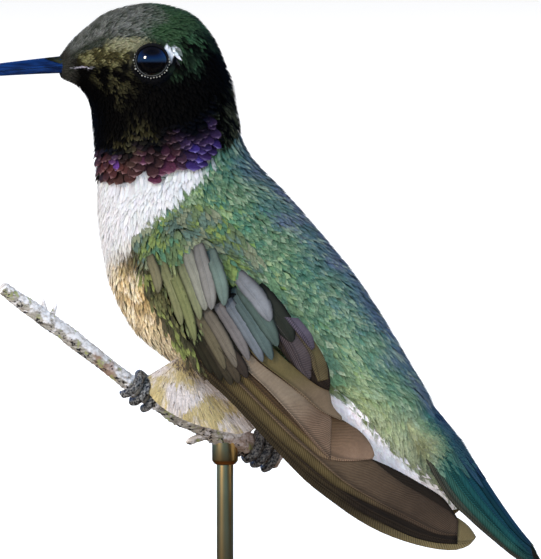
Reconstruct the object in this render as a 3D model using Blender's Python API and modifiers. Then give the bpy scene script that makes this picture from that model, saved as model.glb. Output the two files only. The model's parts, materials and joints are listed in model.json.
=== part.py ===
"""A male black-chinned hummingbird at life size, perched on a cut length of twig.

The bird faces -X with its left side towards -Y. Its trunk leans at about fifty degrees and
its head is turned a little to its left. A round base and one short rod hold the twig. The
origin is the centre of the base's underside. Every size below is in millimetres.
"""

import math

import bmesh
import bpy
import numpy as np
from mathutils import Matrix, Vector
from mathutils.bvhtree import BVHTree

MM = 0.001
GAP = 0.3

# The stand
BASE_RADIUS, BASE_HEIGHT, BASE_ROUNDING = 25.0, 5.0, 0.9
ROD_RADIUS = 0.8
COLLAR_RADIUS, COLLAR_HEIGHT = 1.25, 2.2
PERCH_HEIGHT = 25.0

# The twig: x and z of its centre line and its radius, from the cut end to the far foot
TWIG = [(-21.1, 39.9, 0.62), (-19.4, 38.6, 0.66), (-17.0, 36.8, 0.80), (-15.4, 35.6, 0.72),
        (-12.6, 33.3, 0.74), (-10.4, 31.5, 0.78), (-8.2, 29.7, 0.82), (-6.0, 28.3, 0.86),
        (-4.2, 27.2, 0.98), (-2.2, 26.1, 1.04), (0.0, 25.0, 1.16), (1.4, 24.4, 1.08),
        (2.6, 23.9, 0.98), (3.8, 23.3, 1.04), (5.0, 22.7, 0.94)]
TWIG_DEPTH_SLOPE = 0.556
SPURS = [((-17.0, 36.8), (-17.3, 38.6), 0.42, 0.18), ((-16.6, 36.6), (-16.1, 38.2), 0.36, 0.16),
         ((-1.2, 25.4), (-3.7, 24.5), 0.55, 0.30)]

# How the bird sits: the neck is the point that head and trunk turn about
NECK_X, NECK_Y = -5.5, -0.8
HEAD_TURN, TRUNK_TURN = math.radians(12), math.radians(-8)
TURN_STARTS, TURN_ENDS = 7.0, 13.0

# The body's sections, from the base of the bill to under the tail: the point on the back
# line, the point on the throat or belly line, the half width, and how far the widest place
# is above the middle, as a share of the half depth
SECTIONS = [
    ((-16.2, 61.4), (-15.9, 59.5), 0.95, 0.0), ((-14.9, 63.1), (-14.4, 58.8), 1.95, 0.0),
    ((-13.2, 64.6), (-13.3, 57.6), 3.00, 0.0), ((-11.0, 66.0), (-12.8, 56.2), 4.15, 0.0),
    ((-7.2, 66.7), (-12.7, 54.4), 5.10, 0.0), ((-3.4, 65.8), (-12.6, 52.8), 5.60, 0.0),
    ((-1.1, 63.5), (-12.5, 51.3), 5.80, -0.1), ((0.2, 60.6), (-12.3, 50.0), 5.75, -0.1),
    ((0.9, 57.8), (-12.3, 48.7), 5.60, -0.1), ((1.5, 55.3), (-12.3, 47.2), 5.60, 0.0),
    ((1.8, 53.3), (-12.2, 45.6), 5.90, 0.0), ((3.1, 51.3), (-12.0, 43.8), 6.40, 0.0),
    ((6.0, 48.4), (-11.6, 41.7), 6.80, 0.0), ((9.4, 44.6), (-11.1, 39.5), 6.90, 0.05),
    ((12.7, 40.6), (-9.9, 36.9), 6.80, 0.1), ((15.5, 36.4), (-8.0, 34.3), 6.40, 0.15),
    ((18.0, 32.2), (-3.4, 30.9), 5.80, 0.2), ((19.9, 28.9), (1.9, 27.0), 5.10, 0.3),
    ((20.9, 25.9), (7.2, 23.8), 3.90, 0.2), ((21.9, 23.3), (12.0, 21.3), 2.90, 0.0),
    ((23.0, 20.8), (16.6, 19.4), 2.10, 0.0), ((23.8, 18.6), (20.6, 18.0), 1.00, 0.0)]
HEAD_ENDS, NECK_ENDS, TRUNK_ENDS = 8.0, 11.0, 17.9
RING_POINTS = 28

# The tail's own line, with the half width and the droop of its outer feathers
TAIL = [((21.6, 26.6), 4.6, 2.6), ((23.1, 23.9), 4.8, 2.9), ((24.9, 21.2), 4.8, 3.0),
        ((26.5, 18.8), 4.3, 2.4), ((28.1, 16.6), 3.5, 1.8), ((29.7, 14.7), 2.8, 1.4),
        ((31.2, 13.0), 2.3, 1.0)]
TAIL_FEATHERS, TAIL_THICK = 10, 0.6
TAIL_NOTCH, TAIL_LENGTH = 2.6, 16.5

# The bill, in the head's own plane before the head turns
BILL_ROOT, BILL_LENGTH = (-16.5, 60.65), 18.0
BILL_FALL, BILL_CURVE = 0.9, 0.8
BILL_HALF_WIDTH, BILL_TIP_HALF_WIDTH = 0.95, 0.20
UPPER_DEPTH, LOWER_DEPTH, BILL_TIP_DEPTH = 0.88, 0.64, 0.22
MANDIBLE_GAP = 0.14

# The eyes
EYE_X, EYE_Z, EYE_RADIUS, EYE_SINK = -7.0, 61.15, 1.75, 0.95
SOCKET_GAP = 0.25

# The left wing's outline from the front: ends of its leading and trailing edge curves
COVERT_LEAD = [(-6.6, 44.0), (-8.0, 41.4), (-8.2, 38.6), (-7.4, 35.2), (-5.2, 32.6), (0.3, 29.3)]
COVERT_TRAIL = [(-4.4, 45.2), (-1.2, 43.6), (1.9, 41.4), (4.6, 37.8), (7.6, 34.4), (10.0, 31.1)]
FLIGHT_LEAD = [(0.8, 28.8), (5.8, 23.3), (10.1, 19.3), (14.9, 16.4), (19.7, 14.8), (22.4, 14.5),
               (23.8, 15.3)]
FLIGHT_TRAIL = [(10.2, 30.5), (10.6, 28.3), (14.0, 25.1), (17.6, 21.8), (21.0, 18.9),
                (22.9, 17.4), (23.9, 16.0)]
# How far the wing stands out from the bird's middle plane, at its bend and at its tip
WING_OUT, WING_OUT_TIP, WING_SPAN_X, WING_CAMBER = 8.0, 4.8, (-7.0, 24.0), 0.8
COVERT_THICK, FLIGHT_THICK = 0.9, 0.6

# Legs: twig positions (x) that the feet hold, and the toes
FOOT_X = {"left": -8.2, "right": 3.3}
TOE_RADIUS, TARSUS_RADIUS, TOE_SPACING = 0.34, 0.42, 0.62
TOE_GAP = 0.16
CLAW_TIP = 0.10

parts = bpy.data.collections.new("hummingbird_on_stand")
guides = bpy.data.collections.new("cutters")


def clear_scene():
    for obj in list(bpy.data.objects):
        bpy.data.objects.remove(obj, do_unlink=True)
    bpy.context.scene.collection.children.link(parts)
    bpy.context.scene.collection.children.link(guides)


def material(name, color, roughness, metallic=0.0):
    made = bpy.data.materials.new(name)
    made.use_nodes = True
    shader = made.node_tree.nodes["Principled BSDF"]
    shader.inputs["Base Color"].default_value = (*color, 1.0)
    shader.inputs["Roughness"].default_value = roughness
    shader.inputs["Metallic"].default_value = metallic
    made.diffuse_color = (*color, 1.0)
    return made


def new_object(name, points, faces, finish=None, collection=None):
    """A mesh object from points in millimetres."""
    mesh = bpy.data.meshes.new(name)
    mesh.from_pydata([tuple(p) for p in np.asarray(points) * MM], [], faces)
    mesh.validate()
    mesh.update()
    obj = bpy.data.objects.new(name, mesh)
    (collection or parts).objects.link(obj)
    if finish:
        mesh.materials.append(finish)
    return obj


def smooth(obj, angle=40):
    obj.data.shade_smooth()
    obj.data.set_sharp_from_angle(angle=math.radians(angle))


def through(values, at):
    """Catmull-Rom curve through rows of values, read at positions counted in rows."""
    values = np.asarray(values, float)
    rows = np.vstack([2 * values[0] - values[1], values, 2 * values[-1] - values[-2]])
    at = np.clip(np.asarray(at, float), 0, len(values) - 1 - 1e-9)
    first = np.floor(at).astype(int)
    u = (at - first)[:, None]
    a, b, c, d = (rows[first + k] for k in range(4))
    return 0.5 * (2 * b + (c - a) * u + (2 * a - 5 * b + 4 * c - d) * u**2
                  + (3 * b - a - 3 * c + d) * u**3)


def turned(points, angle):
    """Points of the bird's own frame, turned about the upright line through the neck."""
    points = np.array(points, float)
    along = points[..., 0] - NECK_X
    across = points[..., 1]
    points[..., 0] = NECK_X + along * np.cos(angle) - across * np.sin(angle)
    points[..., 1] = NECK_Y + along * np.sin(angle) + across * np.cos(angle)
    return points


def mirrored(obj, name, angle):
    """A copy of a left piece on the bird's right, across the plane turned by angle."""
    plane = Matrix.Translation((NECK_X * MM, NECK_Y * MM, 0)) @ Matrix.Rotation(angle, 4, "Z")
    flip = plane @ Matrix.Diagonal((1, -1, 1, 1)) @ plane.inverted()
    graph = bpy.context.evaluated_depsgraph_get()
    mesh = bpy.data.meshes.new_from_object(obj.evaluated_get(graph))
    mesh.transform(flip)
    mesh.flip_normals()
    mesh.name = name
    copy = bpy.data.objects.new(name, mesh)
    parts.objects.link(copy)
    return copy


def body_rings(at):
    """Rings of points round the body at section numbers, each ring from the back round."""
    table = through([(*d, *v, half, wide) for d, v, half, wide in SECTIONS], at)
    back, belly, half, wide = table[:, 0:2], table[:, 2:4], table[:, 4], table[:, 5]
    round_by = np.linspace(0, 2 * math.pi, RING_POINTS, endpoint=False)
    cos, sin = np.cos(round_by), np.sin(round_by)
    up = cos[None, :] + wide[:, None] * sin[None, :] ** 2
    middle, arm = (back + belly) / 2, (back - belly) / 2
    flat = middle[:, None, :] + up[:, :, None] * arm[:, None, :]
    rings = np.empty((len(table), RING_POINTS, 3))
    rings[..., 0], rings[..., 2] = flat[..., 0], flat[..., 1]
    rings[..., 1] = -half[:, None] * sin[None, :]
    share = np.clip((np.asarray(at) - TURN_STARTS) / (TURN_ENDS - TURN_STARTS), 0, 1)
    share = share * share * (3 - 2 * share)
    angle = HEAD_TURN + (TRUNK_TURN - HEAD_TURN) * share
    return turned(rings, angle[:, None])


def loft(name, rings, finish, collection=None):
    """A closed solid through rings of equally many points."""
    count, around = rings.shape[:2]
    faces = [
        (i * around + j, i * around + (j + 1) % around,
         (i + 1) * around + (j + 1) % around, (i + 1) * around + j)
        for i in range(count - 1) for j in range(around)
    ]
    faces.append(tuple(reversed(range(around))))
    faces.append(tuple((count - 1) * around + j for j in range(around)))
    obj = new_object(name, rings.reshape(-1, 3), faces, finish, collection)
    outward(obj)
    smooth(obj)
    return obj


def outward(obj):
    work = bmesh.new()
    work.from_mesh(obj.data)
    bmesh.ops.recalc_face_normals(work, faces=work.faces)
    work.to_mesh(obj.data)
    work.free()


def tube(name, points, radii, sides, finish=None, collection=None):
    """A round rod along points, as a mesh with welded caps."""
    curve = bpy.data.curves.new(name, "CURVE")
    curve.dimensions = "3D"
    curve.bevel_depth = MM
    curve.bevel_resolution = sides
    curve.use_fill_caps = True
    line = curve.splines.new("POLY")
    line.points.add(len(points) - 1)
    for spot, place, radius in zip(line.points, points, radii):
        spot.co = (*(Vector(place) * MM), 1)
        spot.radius = radius
    holder = bpy.data.objects.new(name + "_curve", curve)
    guides.objects.link(holder)
    graph = bpy.context.evaluated_depsgraph_get()
    mesh = bpy.data.meshes.new_from_object(holder.evaluated_get(graph))
    bpy.data.objects.remove(holder)
    work = bmesh.new()
    work.from_mesh(mesh)
    bmesh.ops.remove_doubles(work, verts=work.verts, dist=MM * 0.0005)
    bmesh.ops.recalc_face_normals(work, faces=work.faces)
    work.to_mesh(mesh)
    work.free()
    mesh.name = name
    obj = bpy.data.objects.new(name, mesh)
    (collection or parts).objects.link(obj)
    if finish:
        mesh.materials.append(finish)
    smooth(obj)
    return obj


def boolean(obj, other, operation):
    """Joins or cuts with a guide piece, which stays in the scene as a hidden cutter."""
    other.hide_render = True
    other.display_type = "WIRE"
    change = obj.modifiers.new(operation.title() + "_" + other.name, "BOOLEAN")
    change.operation = operation
    change.solver = "EXACT"
    change.object = other


def twig_point(x):
    """Centre and radius of the twig where its centre line has this x."""
    table = np.array(TWIG)
    fine = through(table, np.linspace(0, len(TWIG) - 1, 400))
    z, radius = (np.interp(x, fine[:, 0], fine[:, k]) for k in (1, 2))
    return np.array([x, TWIG_DEPTH_SLOPE * x, z]), radius


def twig_frame(x):
    """Centre, radius and three unit directions at a place on the twig: along, up and near."""
    centre, radius = twig_point(x)
    along = twig_point(x + 0.4)[0] - twig_point(x - 0.4)[0]
    along /= np.linalg.norm(along)
    up = np.array([0.0, 0.0, 1.0]) - along[2] * along
    up /= np.linalg.norm(up)
    return centre, radius, along, up, np.cross(along, up)


def surface_of(names):
    """A search tree over finished pieces, in millimetres."""
    graph = bpy.context.evaluated_depsgraph_get()
    points, faces = [], []
    for name in names:
        mesh = bpy.data.objects[name].evaluated_get(graph).to_mesh()
        start = len(points)
        points += [v.co / MM for v in mesh.vertices]
        faces += [tuple(start + k for k in f.vertices) for f in mesh.polygons]
    return BVHTree.FromPolygons(points, faces)


def near_side(tree, x, z):
    """The y of the nearest surface to the bird's left at this x and z, or None."""
    hit = tree.ray_cast(Vector((x, -60, z)), Vector((0, 1, 0)))[0]
    return None if hit is None else hit.y


def make_body():
    green = material("back_green", (0.10, 0.22, 0.12), 0.5)
    black = material("head_black", (0.03, 0.03, 0.03), 0.5)
    white = material("collar_white", (0.8, 0.8, 0.78), 0.8)
    pieces = [
        ("head", 0.0, HEAD_ENDS, 20, black),
        ("neck", HEAD_ENDS + 0.2, NECK_ENDS, 7, white),
        ("trunk", NECK_ENDS + 0.14, TRUNK_ENDS, 18, green),
        ("tail_base", TRUNK_ENDS + 0.1, len(SECTIONS) - 1.0, 8, white),
    ]
    for name, first, last, count, finish in pieces:
        loft(name, body_rings(np.linspace(first, last, count)), finish)


def make_eyes():
    glossy = material("eye", (0.005, 0.005, 0.01), 0.05)
    face = near_side(surface_of(["head"]), EYE_X, EYE_Z)
    centre = Vector((EYE_X, face + EYE_SINK, EYE_Z))
    balls = {}
    for name, radius, home in (("eye_left", EYE_RADIUS, parts),
                               ("socket_left", EYE_RADIUS + SOCKET_GAP, guides)):
        work = bmesh.new()
        bmesh.ops.create_uvsphere(work, u_segments=16, v_segments=10, radius=radius * MM)
        mesh = bpy.data.meshes.new(name)
        work.to_mesh(mesh)
        work.free()
        mesh.transform(Matrix.Translation(centre * MM))
        balls[name] = bpy.data.objects.new(name, mesh)
        home.objects.link(balls[name])
    balls["eye_left"].data.materials.append(glossy)
    smooth(balls["eye_left"])
    mirrored(balls["eye_left"], "eye_right", HEAD_TURN)
    right_socket = mirrored(balls["socket_left"], "socket_right", HEAD_TURN)
    parts.objects.unlink(right_socket)
    guides.objects.link(right_socket)
    for socket in (balls["socket_left"], right_socket):
        boolean(bpy.data.objects["head"], socket, "DIFFERENCE")


def make_bill():
    horn = material("bill", (0.02, 0.03, 0.05), 0.25)
    steps, around = 14, 10
    share = np.linspace(0, 1, steps) ** 1.1
    x = BILL_ROOT[0] - BILL_LENGTH * share
    middle = BILL_ROOT[1] - BILL_FALL * share - BILL_CURVE * share**2
    taper = (1 - share) ** 1.15
    half = BILL_TIP_HALF_WIDTH + (BILL_HALF_WIDTH - BILL_TIP_HALF_WIDTH) * taper
    sweep = np.linspace(0, math.pi, around)
    for name, side, root_depth in (("bill_upper", 1, UPPER_DEPTH), ("bill_lower", -1, LOWER_DEPTH)):
        depth = BILL_TIP_DEPTH + (root_depth - BILL_TIP_DEPTH) * taper
        rings = np.empty((steps, around, 3))
        rings[..., 0] = x[:, None]
        rings[..., 1] = half[:, None] * np.cos(sweep)[None, :]
        height = MANDIBLE_GAP / 2 + depth[:, None] * np.sin(sweep)[None, :]
        rings[..., 2] = middle[:, None] + side * height
        loft(name, turned(rings, HEAD_TURN), horn)


def plate(name, lead, trail, steps, across, thick, camber, tree, finish):
    """A curved plate between two edge curves, laid against the bird's left side."""
    along = np.linspace(0, len(lead) - 1, steps)
    first, second = through(lead, along), through(trail, along)
    share = np.linspace(0, 1, across)
    flat = first[:, None, :] + (second - first)[:, None, :] * share[None, :, None]
    bulge = camber * np.sin(math.pi * share)[None, :]
    out = np.interp(flat[..., 0], WING_SPAN_X, (WING_OUT, WING_OUT_TIP)) + bulge - camber
    rest = NECK_Y + math.tan(TRUNK_TURN) * (flat[..., 0] - NECK_X) - out
    limit = np.full(rest.shape, np.inf)
    for i in range(steps):
        for j in range(across):
            hit = near_side(tree, *flat[i, j])
            if hit is not None:
                limit[i, j] = hit - GAP - 0.15 - thick
    depth = np.minimum(rest, limit)
    for _ in range(6):
        padded = np.pad(depth, 1, mode="edge")
        mean = (padded[:-2, 1:-1] + padded[2:, 1:-1] + padded[1:-1, :-2] + padded[1:-1, 2:]) / 4
        depth = np.minimum((depth + mean) / 2, limit)
    points = np.stack([flat[..., 0], depth, flat[..., 1]], axis=-1).reshape(-1, 3)
    faces = [(i * across + j, i * across + j + 1, (i + 1) * across + j + 1, (i + 1) * across + j)
             for i in range(steps - 1) for j in range(across - 1)]
    obj = new_object(name, points, faces, finish)
    if obj.data.polygons[0].normal.y > 0:
        obj.data.flip_normals()
    wall = obj.modifiers.new("Solidify", "SOLIDIFY")
    wall.thickness = thick * MM
    wall.offset = -1
    smooth(obj)
    return obj


def make_wings():
    covert = material("wing_coverts", (0.16, 0.20, 0.12), 0.6)
    flight = material("flight_feathers", (0.13, 0.10, 0.08), 0.6)
    tree = surface_of(["head", "neck", "trunk", "tail_base"])
    upper = plate("wing_left_coverts", COVERT_LEAD, COVERT_TRAIL, 12, 7, COVERT_THICK,
                  WING_CAMBER, tree, covert)
    blade = plate("wing_left_flight", FLIGHT_LEAD, FLIGHT_TRAIL, 18, 7, FLIGHT_THICK,
                  WING_CAMBER, tree, flight)
    mirrored(upper, "wing_right_coverts", TRUNK_TURN)
    mirrored(blade, "wing_right_flight", TRUNK_TURN)


def make_tail():
    """The ten folded tail feathers as one arched plate whose tips step to a notch."""
    teal = material("tail_feathers", (0.03, 0.16, 0.17), 0.45)
    steps, across = 11, TAIL_FEATHERS + 1
    side = np.linspace(-1, 1, across)
    reach = 1 - (TAIL_NOTCH / TAIL_LENGTH) * (1 - np.abs(side))
    along = np.linspace(0, 1, steps)[:, None] * reach[None, :] * (len(TAIL) - 1)
    table = [(*top, half, droop) for top, half, droop in TAIL]
    rows = through(table, along.reshape(-1)).reshape(steps, across, 4)
    line = through(table, [0, len(TAIL) - 1])
    run = line[1, :2] - line[0, :2]
    run /= np.linalg.norm(run)
    below = np.array([run[1], -run[0]])
    drop = rows[..., 3] * (1 - np.cos(side * math.pi / 2))[None, :]
    points = np.empty((steps, across, 3))
    points[..., 0] = rows[..., 0] + below[0] * drop
    points[..., 2] = rows[..., 1] + below[1] * drop
    points[..., 1] = rows[..., 2] * np.sin(side * math.pi / 2)[None, :]
    faces = [(i * across + j, i * across + j + 1, (i + 1) * across + j + 1, (i + 1) * across + j)
             for i in range(steps - 1) for j in range(across - 1)]
    obj = new_object("tail_feathers", turned(points, TRUNK_TURN).reshape(-1, 3), faces, teal)
    if obj.data.polygons[across // 2].normal.z < 0:
        obj.data.flip_normals()
    wall = obj.modifiers.new("Solidify", "SOLIDIFY")
    wall.thickness = TAIL_THICK * MM
    wall.offset = -1
    smooth(obj)


def make_thighs():
    """The fluffy feathering of each leg, flattened and wider below than above."""
    cream = material("leg_tufts", (0.75, 0.68, 0.55), 0.9)
    shapes = {
        "thigh_left": ((-4.7, -4.9, 32.0), (-2.4, -4.5, 26.6), (0.9, 0.8), (3.7, 1.0)),
        "thigh_right": ((-1.6, 2.7, 28.8), (1.0, 3.0, 26.2), (1.0, 0.9), (1.7, 1.0)),
    }
    for name, (top, foot, narrow, broad) in shapes.items():
        top, foot = np.array(top), np.array(foot)
        share = np.linspace(0, 1, 9)
        round_by = np.linspace(0, 2 * math.pi, 18, endpoint=False)
        down = (foot - top) / np.linalg.norm(foot - top)
        thick_way = np.array([0.0, 1.0, 0.0]) - down[1] * down
        thick_way /= np.linalg.norm(thick_way)
        wide_way = np.cross(down, thick_way)
        swell = np.sqrt(np.clip(1 - (2 * share - 1) ** 4, 0.02, 1))
        wide = (narrow[0] + (broad[0] - narrow[0]) * share) * swell
        thick = (narrow[1] + (broad[1] - narrow[1]) * share) * swell
        rings = (top + share[:, None] * (foot - top))[:, None, :] \
            + (wide[:, None] * np.cos(round_by))[..., None] * wide_way \
            + (thick[:, None] * np.sin(round_by))[..., None] * thick_way
        loft(name, rings, cream)


def toe_points(x, start, stop, steps=10):
    """An arc round the twig from angle start to stop, counted from the top to the near side."""
    centre, radius, _, up, near = twig_frame(x)
    reach = radius + TOE_GAP + TOE_RADIUS
    angles = np.linspace(start, stop, steps)
    return [centre + reach * (math.cos(a) * up + math.sin(a) * near) for a in angles]


def make_feet():
    """Each foot is a tarsus, three toes over the near side and one over the far side."""
    scaly = material("feet", (0.03, 0.03, 0.03), 0.5)
    ankles = {"left": (-5.9, -5.2, 30.9), "right": (2.4, 2.6, 27.2)}
    for side, x in FOOT_X.items():
        name = "foot_" + side
        centre, radius, _, up, _ = twig_frame(x)
        top = centre + (radius + TOE_GAP + TOE_RADIUS) * up
        tarsus = [top, 0.55 * top + 0.45 * np.array(ankles[side]), np.array(ankles[side])]
        foot = tube(name, tarsus, [TOE_RADIUS * 1.15, TARSUS_RADIUS, TARSUS_RADIUS], 1, scaly)
        toes = [(shift * TOE_SPACING, 0.0, 3.7) for shift in (-1, 0, 1)] + [(0.0, 0.0, -2.1)]
        for number, (shift, start, stop) in enumerate(toes):
            arc = toe_points(x + 0.8 * shift, start, stop)
            arc[0] = 0.5 * arc[0] + 0.5 * top
            taper = [TOE_RADIUS] * 7 + [0.28, 0.20, CLAW_TIP]
            toe = tube(f"{name}_toe_{number}", arc, taper, 1, collection=guides)
            boolean(foot, toe, "UNION")


def make_twig():
    bark = material("bark", (0.55, 0.50, 0.42), 0.9)
    fine = through(TWIG, np.linspace(0, len(TWIG) - 1, 29))
    points = [(x, TWIG_DEPTH_SLOPE * x, z) for x, z, _ in fine]
    twig = tube("perch_twig", points, fine[:, 2], 2, bark)
    for number, (root, tip, thick, thin) in enumerate(SPURS):
        ends = [(x, TWIG_DEPTH_SLOPE * x, z) for x, z in (root, tip)]
        middle = tuple((np.array(ends[0]) + np.array(ends[1])) / 2)
        spur = tube(f"spur_{number}", [ends[0], middle, ends[1]],
                    [thick, (thick + thin) / 2, thin], 2, collection=guides)
        boolean(twig, spur, "UNION")


def cylinder(name, radius, low, high, finish, rounding=0.0, segments=40):
    work = bmesh.new()
    bmesh.ops.create_cone(work, cap_ends=True, segments=segments, radius1=radius * MM,
                          radius2=radius * MM, depth=(high - low) * MM)
    mesh = bpy.data.meshes.new(name)
    work.to_mesh(mesh)
    work.free()
    mesh.materials.append(finish)
    obj = bpy.data.objects.new(name, mesh)
    parts.objects.link(obj)
    obj.location.z = (low + high) / 2 * MM
    if rounding:
        edge = obj.modifiers.new("Bevel", "BEVEL")
        edge.width = rounding * MM
        edge.segments = 2
        edge.limit_method = "ANGLE"
    smooth(obj)
    return obj


def make_stand():
    wood = material("stand_wood", (0.09, 0.05, 0.03), 0.35)
    brass = material("stand_brass", (0.78, 0.60, 0.28), 0.25, 1.0)
    cylinder("stand_base", BASE_RADIUS, 0.0, BASE_HEIGHT, wood, BASE_ROUNDING, 48)
    collar_top = PERCH_HEIGHT - 0.2
    collar_low = collar_top - COLLAR_HEIGHT
    cylinder("stand_rod", ROD_RADIUS, BASE_HEIGHT + GAP, collar_low - GAP, brass, 0.0, 24)
    collar = cylinder("stand_collar", COLLAR_RADIUS, collar_low, collar_top, brass, 0.2, 20)
    xs = np.linspace(-4.0, 4.0, 9)
    spots = [twig_point(x) for x in xs]
    groove = tube("groove", [p for p, _ in spots], [r + GAP for _, r in spots], 4,
                  collection=guides)
    boolean(collar, groove, "DIFFERENCE")


def main():
    clear_scene()
    make_body()
    make_eyes()
    make_bill()
    make_wings()
    make_tail()
    make_thighs()
    make_twig()
    make_feet()
    make_stand()


main()
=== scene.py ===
# %% [markdown]
# # A hummingbird on a twig, built as a display model
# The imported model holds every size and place: a male black-chinned hummingbird, life size,
# on a short twig that a rod and a round base hold up. This lesson dresses that model. A
# smooth skin takes the place of the solids of flesh, thousands of small feathers lie over
# it, and the wings, tail, bill, eyes, feet, twig and stand are modelled one by one.
# Everything below is in millimetres until it becomes a mesh, because a bird this small is
# easier to think about that way.

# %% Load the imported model
import json
from itertools import product
from math import cos, pi, radians, sin, sqrt

import bpy
import numpy as np
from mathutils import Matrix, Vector
from mathutils.bvhtree import BVHTree
from mathutils.kdtree import KDTree

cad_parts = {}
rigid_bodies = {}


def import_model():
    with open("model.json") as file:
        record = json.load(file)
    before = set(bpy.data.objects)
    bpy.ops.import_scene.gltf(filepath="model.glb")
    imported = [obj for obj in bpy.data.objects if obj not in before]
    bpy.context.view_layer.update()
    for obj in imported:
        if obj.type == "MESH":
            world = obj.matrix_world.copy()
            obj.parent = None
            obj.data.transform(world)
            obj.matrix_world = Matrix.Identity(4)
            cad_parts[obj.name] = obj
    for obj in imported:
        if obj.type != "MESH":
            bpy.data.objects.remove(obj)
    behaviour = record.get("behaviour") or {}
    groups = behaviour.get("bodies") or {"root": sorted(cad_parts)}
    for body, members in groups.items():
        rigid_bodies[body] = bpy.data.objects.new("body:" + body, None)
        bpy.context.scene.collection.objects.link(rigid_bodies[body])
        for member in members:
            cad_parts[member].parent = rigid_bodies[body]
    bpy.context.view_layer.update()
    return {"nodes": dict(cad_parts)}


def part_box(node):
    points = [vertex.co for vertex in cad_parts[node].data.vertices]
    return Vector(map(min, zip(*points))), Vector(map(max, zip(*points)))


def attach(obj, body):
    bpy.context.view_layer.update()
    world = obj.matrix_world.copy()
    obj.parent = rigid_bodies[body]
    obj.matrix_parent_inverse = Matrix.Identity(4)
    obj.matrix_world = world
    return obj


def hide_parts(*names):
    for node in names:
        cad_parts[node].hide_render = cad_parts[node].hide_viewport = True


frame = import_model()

MM = 0.001
nodes = frame["nodes"]

# %% [markdown]
# ## Light, floor and camera
# The real bird was lit by open sky with a soft sun from the left. A wide bluish panel high
# in front stands for the sky. A warmer panel from the left brings the colours back to
# neutral and sets the glint in the eye. Only that one is mirrored in glossy things. The
# camera stands a metre away with a long lens, three degrees above level.


# %% Lights, world and camera
def area_light(name, place, aim, size, watts, colour):
    bpy.ops.object.light_add(type="AREA", location=[v * MM for v in place])
    lamp = bpy.context.object
    lamp.name = name
    lamp.rotation_mode = "QUATERNION"
    lamp.rotation_quaternion = (Vector(place) - Vector(aim)).to_track_quat("Z", "Y")
    lamp.data.shape = "RECTANGLE"
    lamp.data.size, lamp.data.size_y = size[0] * MM, size[1] * MM
    lamp.data.energy = watts
    lamp.data.color = colour
    lamp.visible_camera = False
    return lamp


BIRD_MIDDLE = (4.4, 0, 40)
sky_panel = area_light("sky_panel", (-300, -1500, 1500), BIRD_MIDDLE, (3600, 1800), 46, (0.30, 0.60, 1.0))
area_light("sun_panel", (-1500, -1300, 1150), BIRD_MIDDLE, (500, 500), 34, (1.0, 0.84, 0.66))
back_panel = area_light("back_panel", (1300, 1400, 1300), BIRD_MIDDLE, (1200, 1200), 16, (1.0, 0.97, 0.93))
sky_panel.visible_glossy = back_panel.visible_glossy = False

bpy.context.scene.view_settings.view_transform = "Standard"

VIEW_TILT = radians(3)
CAMERA_DISTANCE, FRAME_HEIGHT = 1000.0, 53.75
VIEW_CENTRE = (4.375, 0.0, 40.07)
camera_place = [VIEW_CENTRE[0], -CAMERA_DISTANCE * cos(VIEW_TILT),
                VIEW_CENTRE[2] + CAMERA_DISTANCE * sin(VIEW_TILT)]
bpy.ops.object.camera_add(location=[v * MM for v in camera_place],
                          rotation=(pi / 2 - VIEW_TILT, 0, 0))
camera = bpy.context.object
camera.data.sensor_width = 36
camera.data.lens = 36 * CAMERA_DISTANCE / FRAME_HEIGHT
camera.data.clip_start, camera.data.clip_end = 0.05, 60
bpy.context.scene.camera = camera
print("lens, mm:", round(camera.data.lens, 1))

# %% [markdown]
# ## Writing shader maths as plain expressions
# A material is a web of small nodes. Wrapping a socket in a class whose +, - and * add the
# Math nodes lets a finish read like a formula, and one method adds any other node: its
# settings go in first, then what feeds its sockets.


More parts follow.
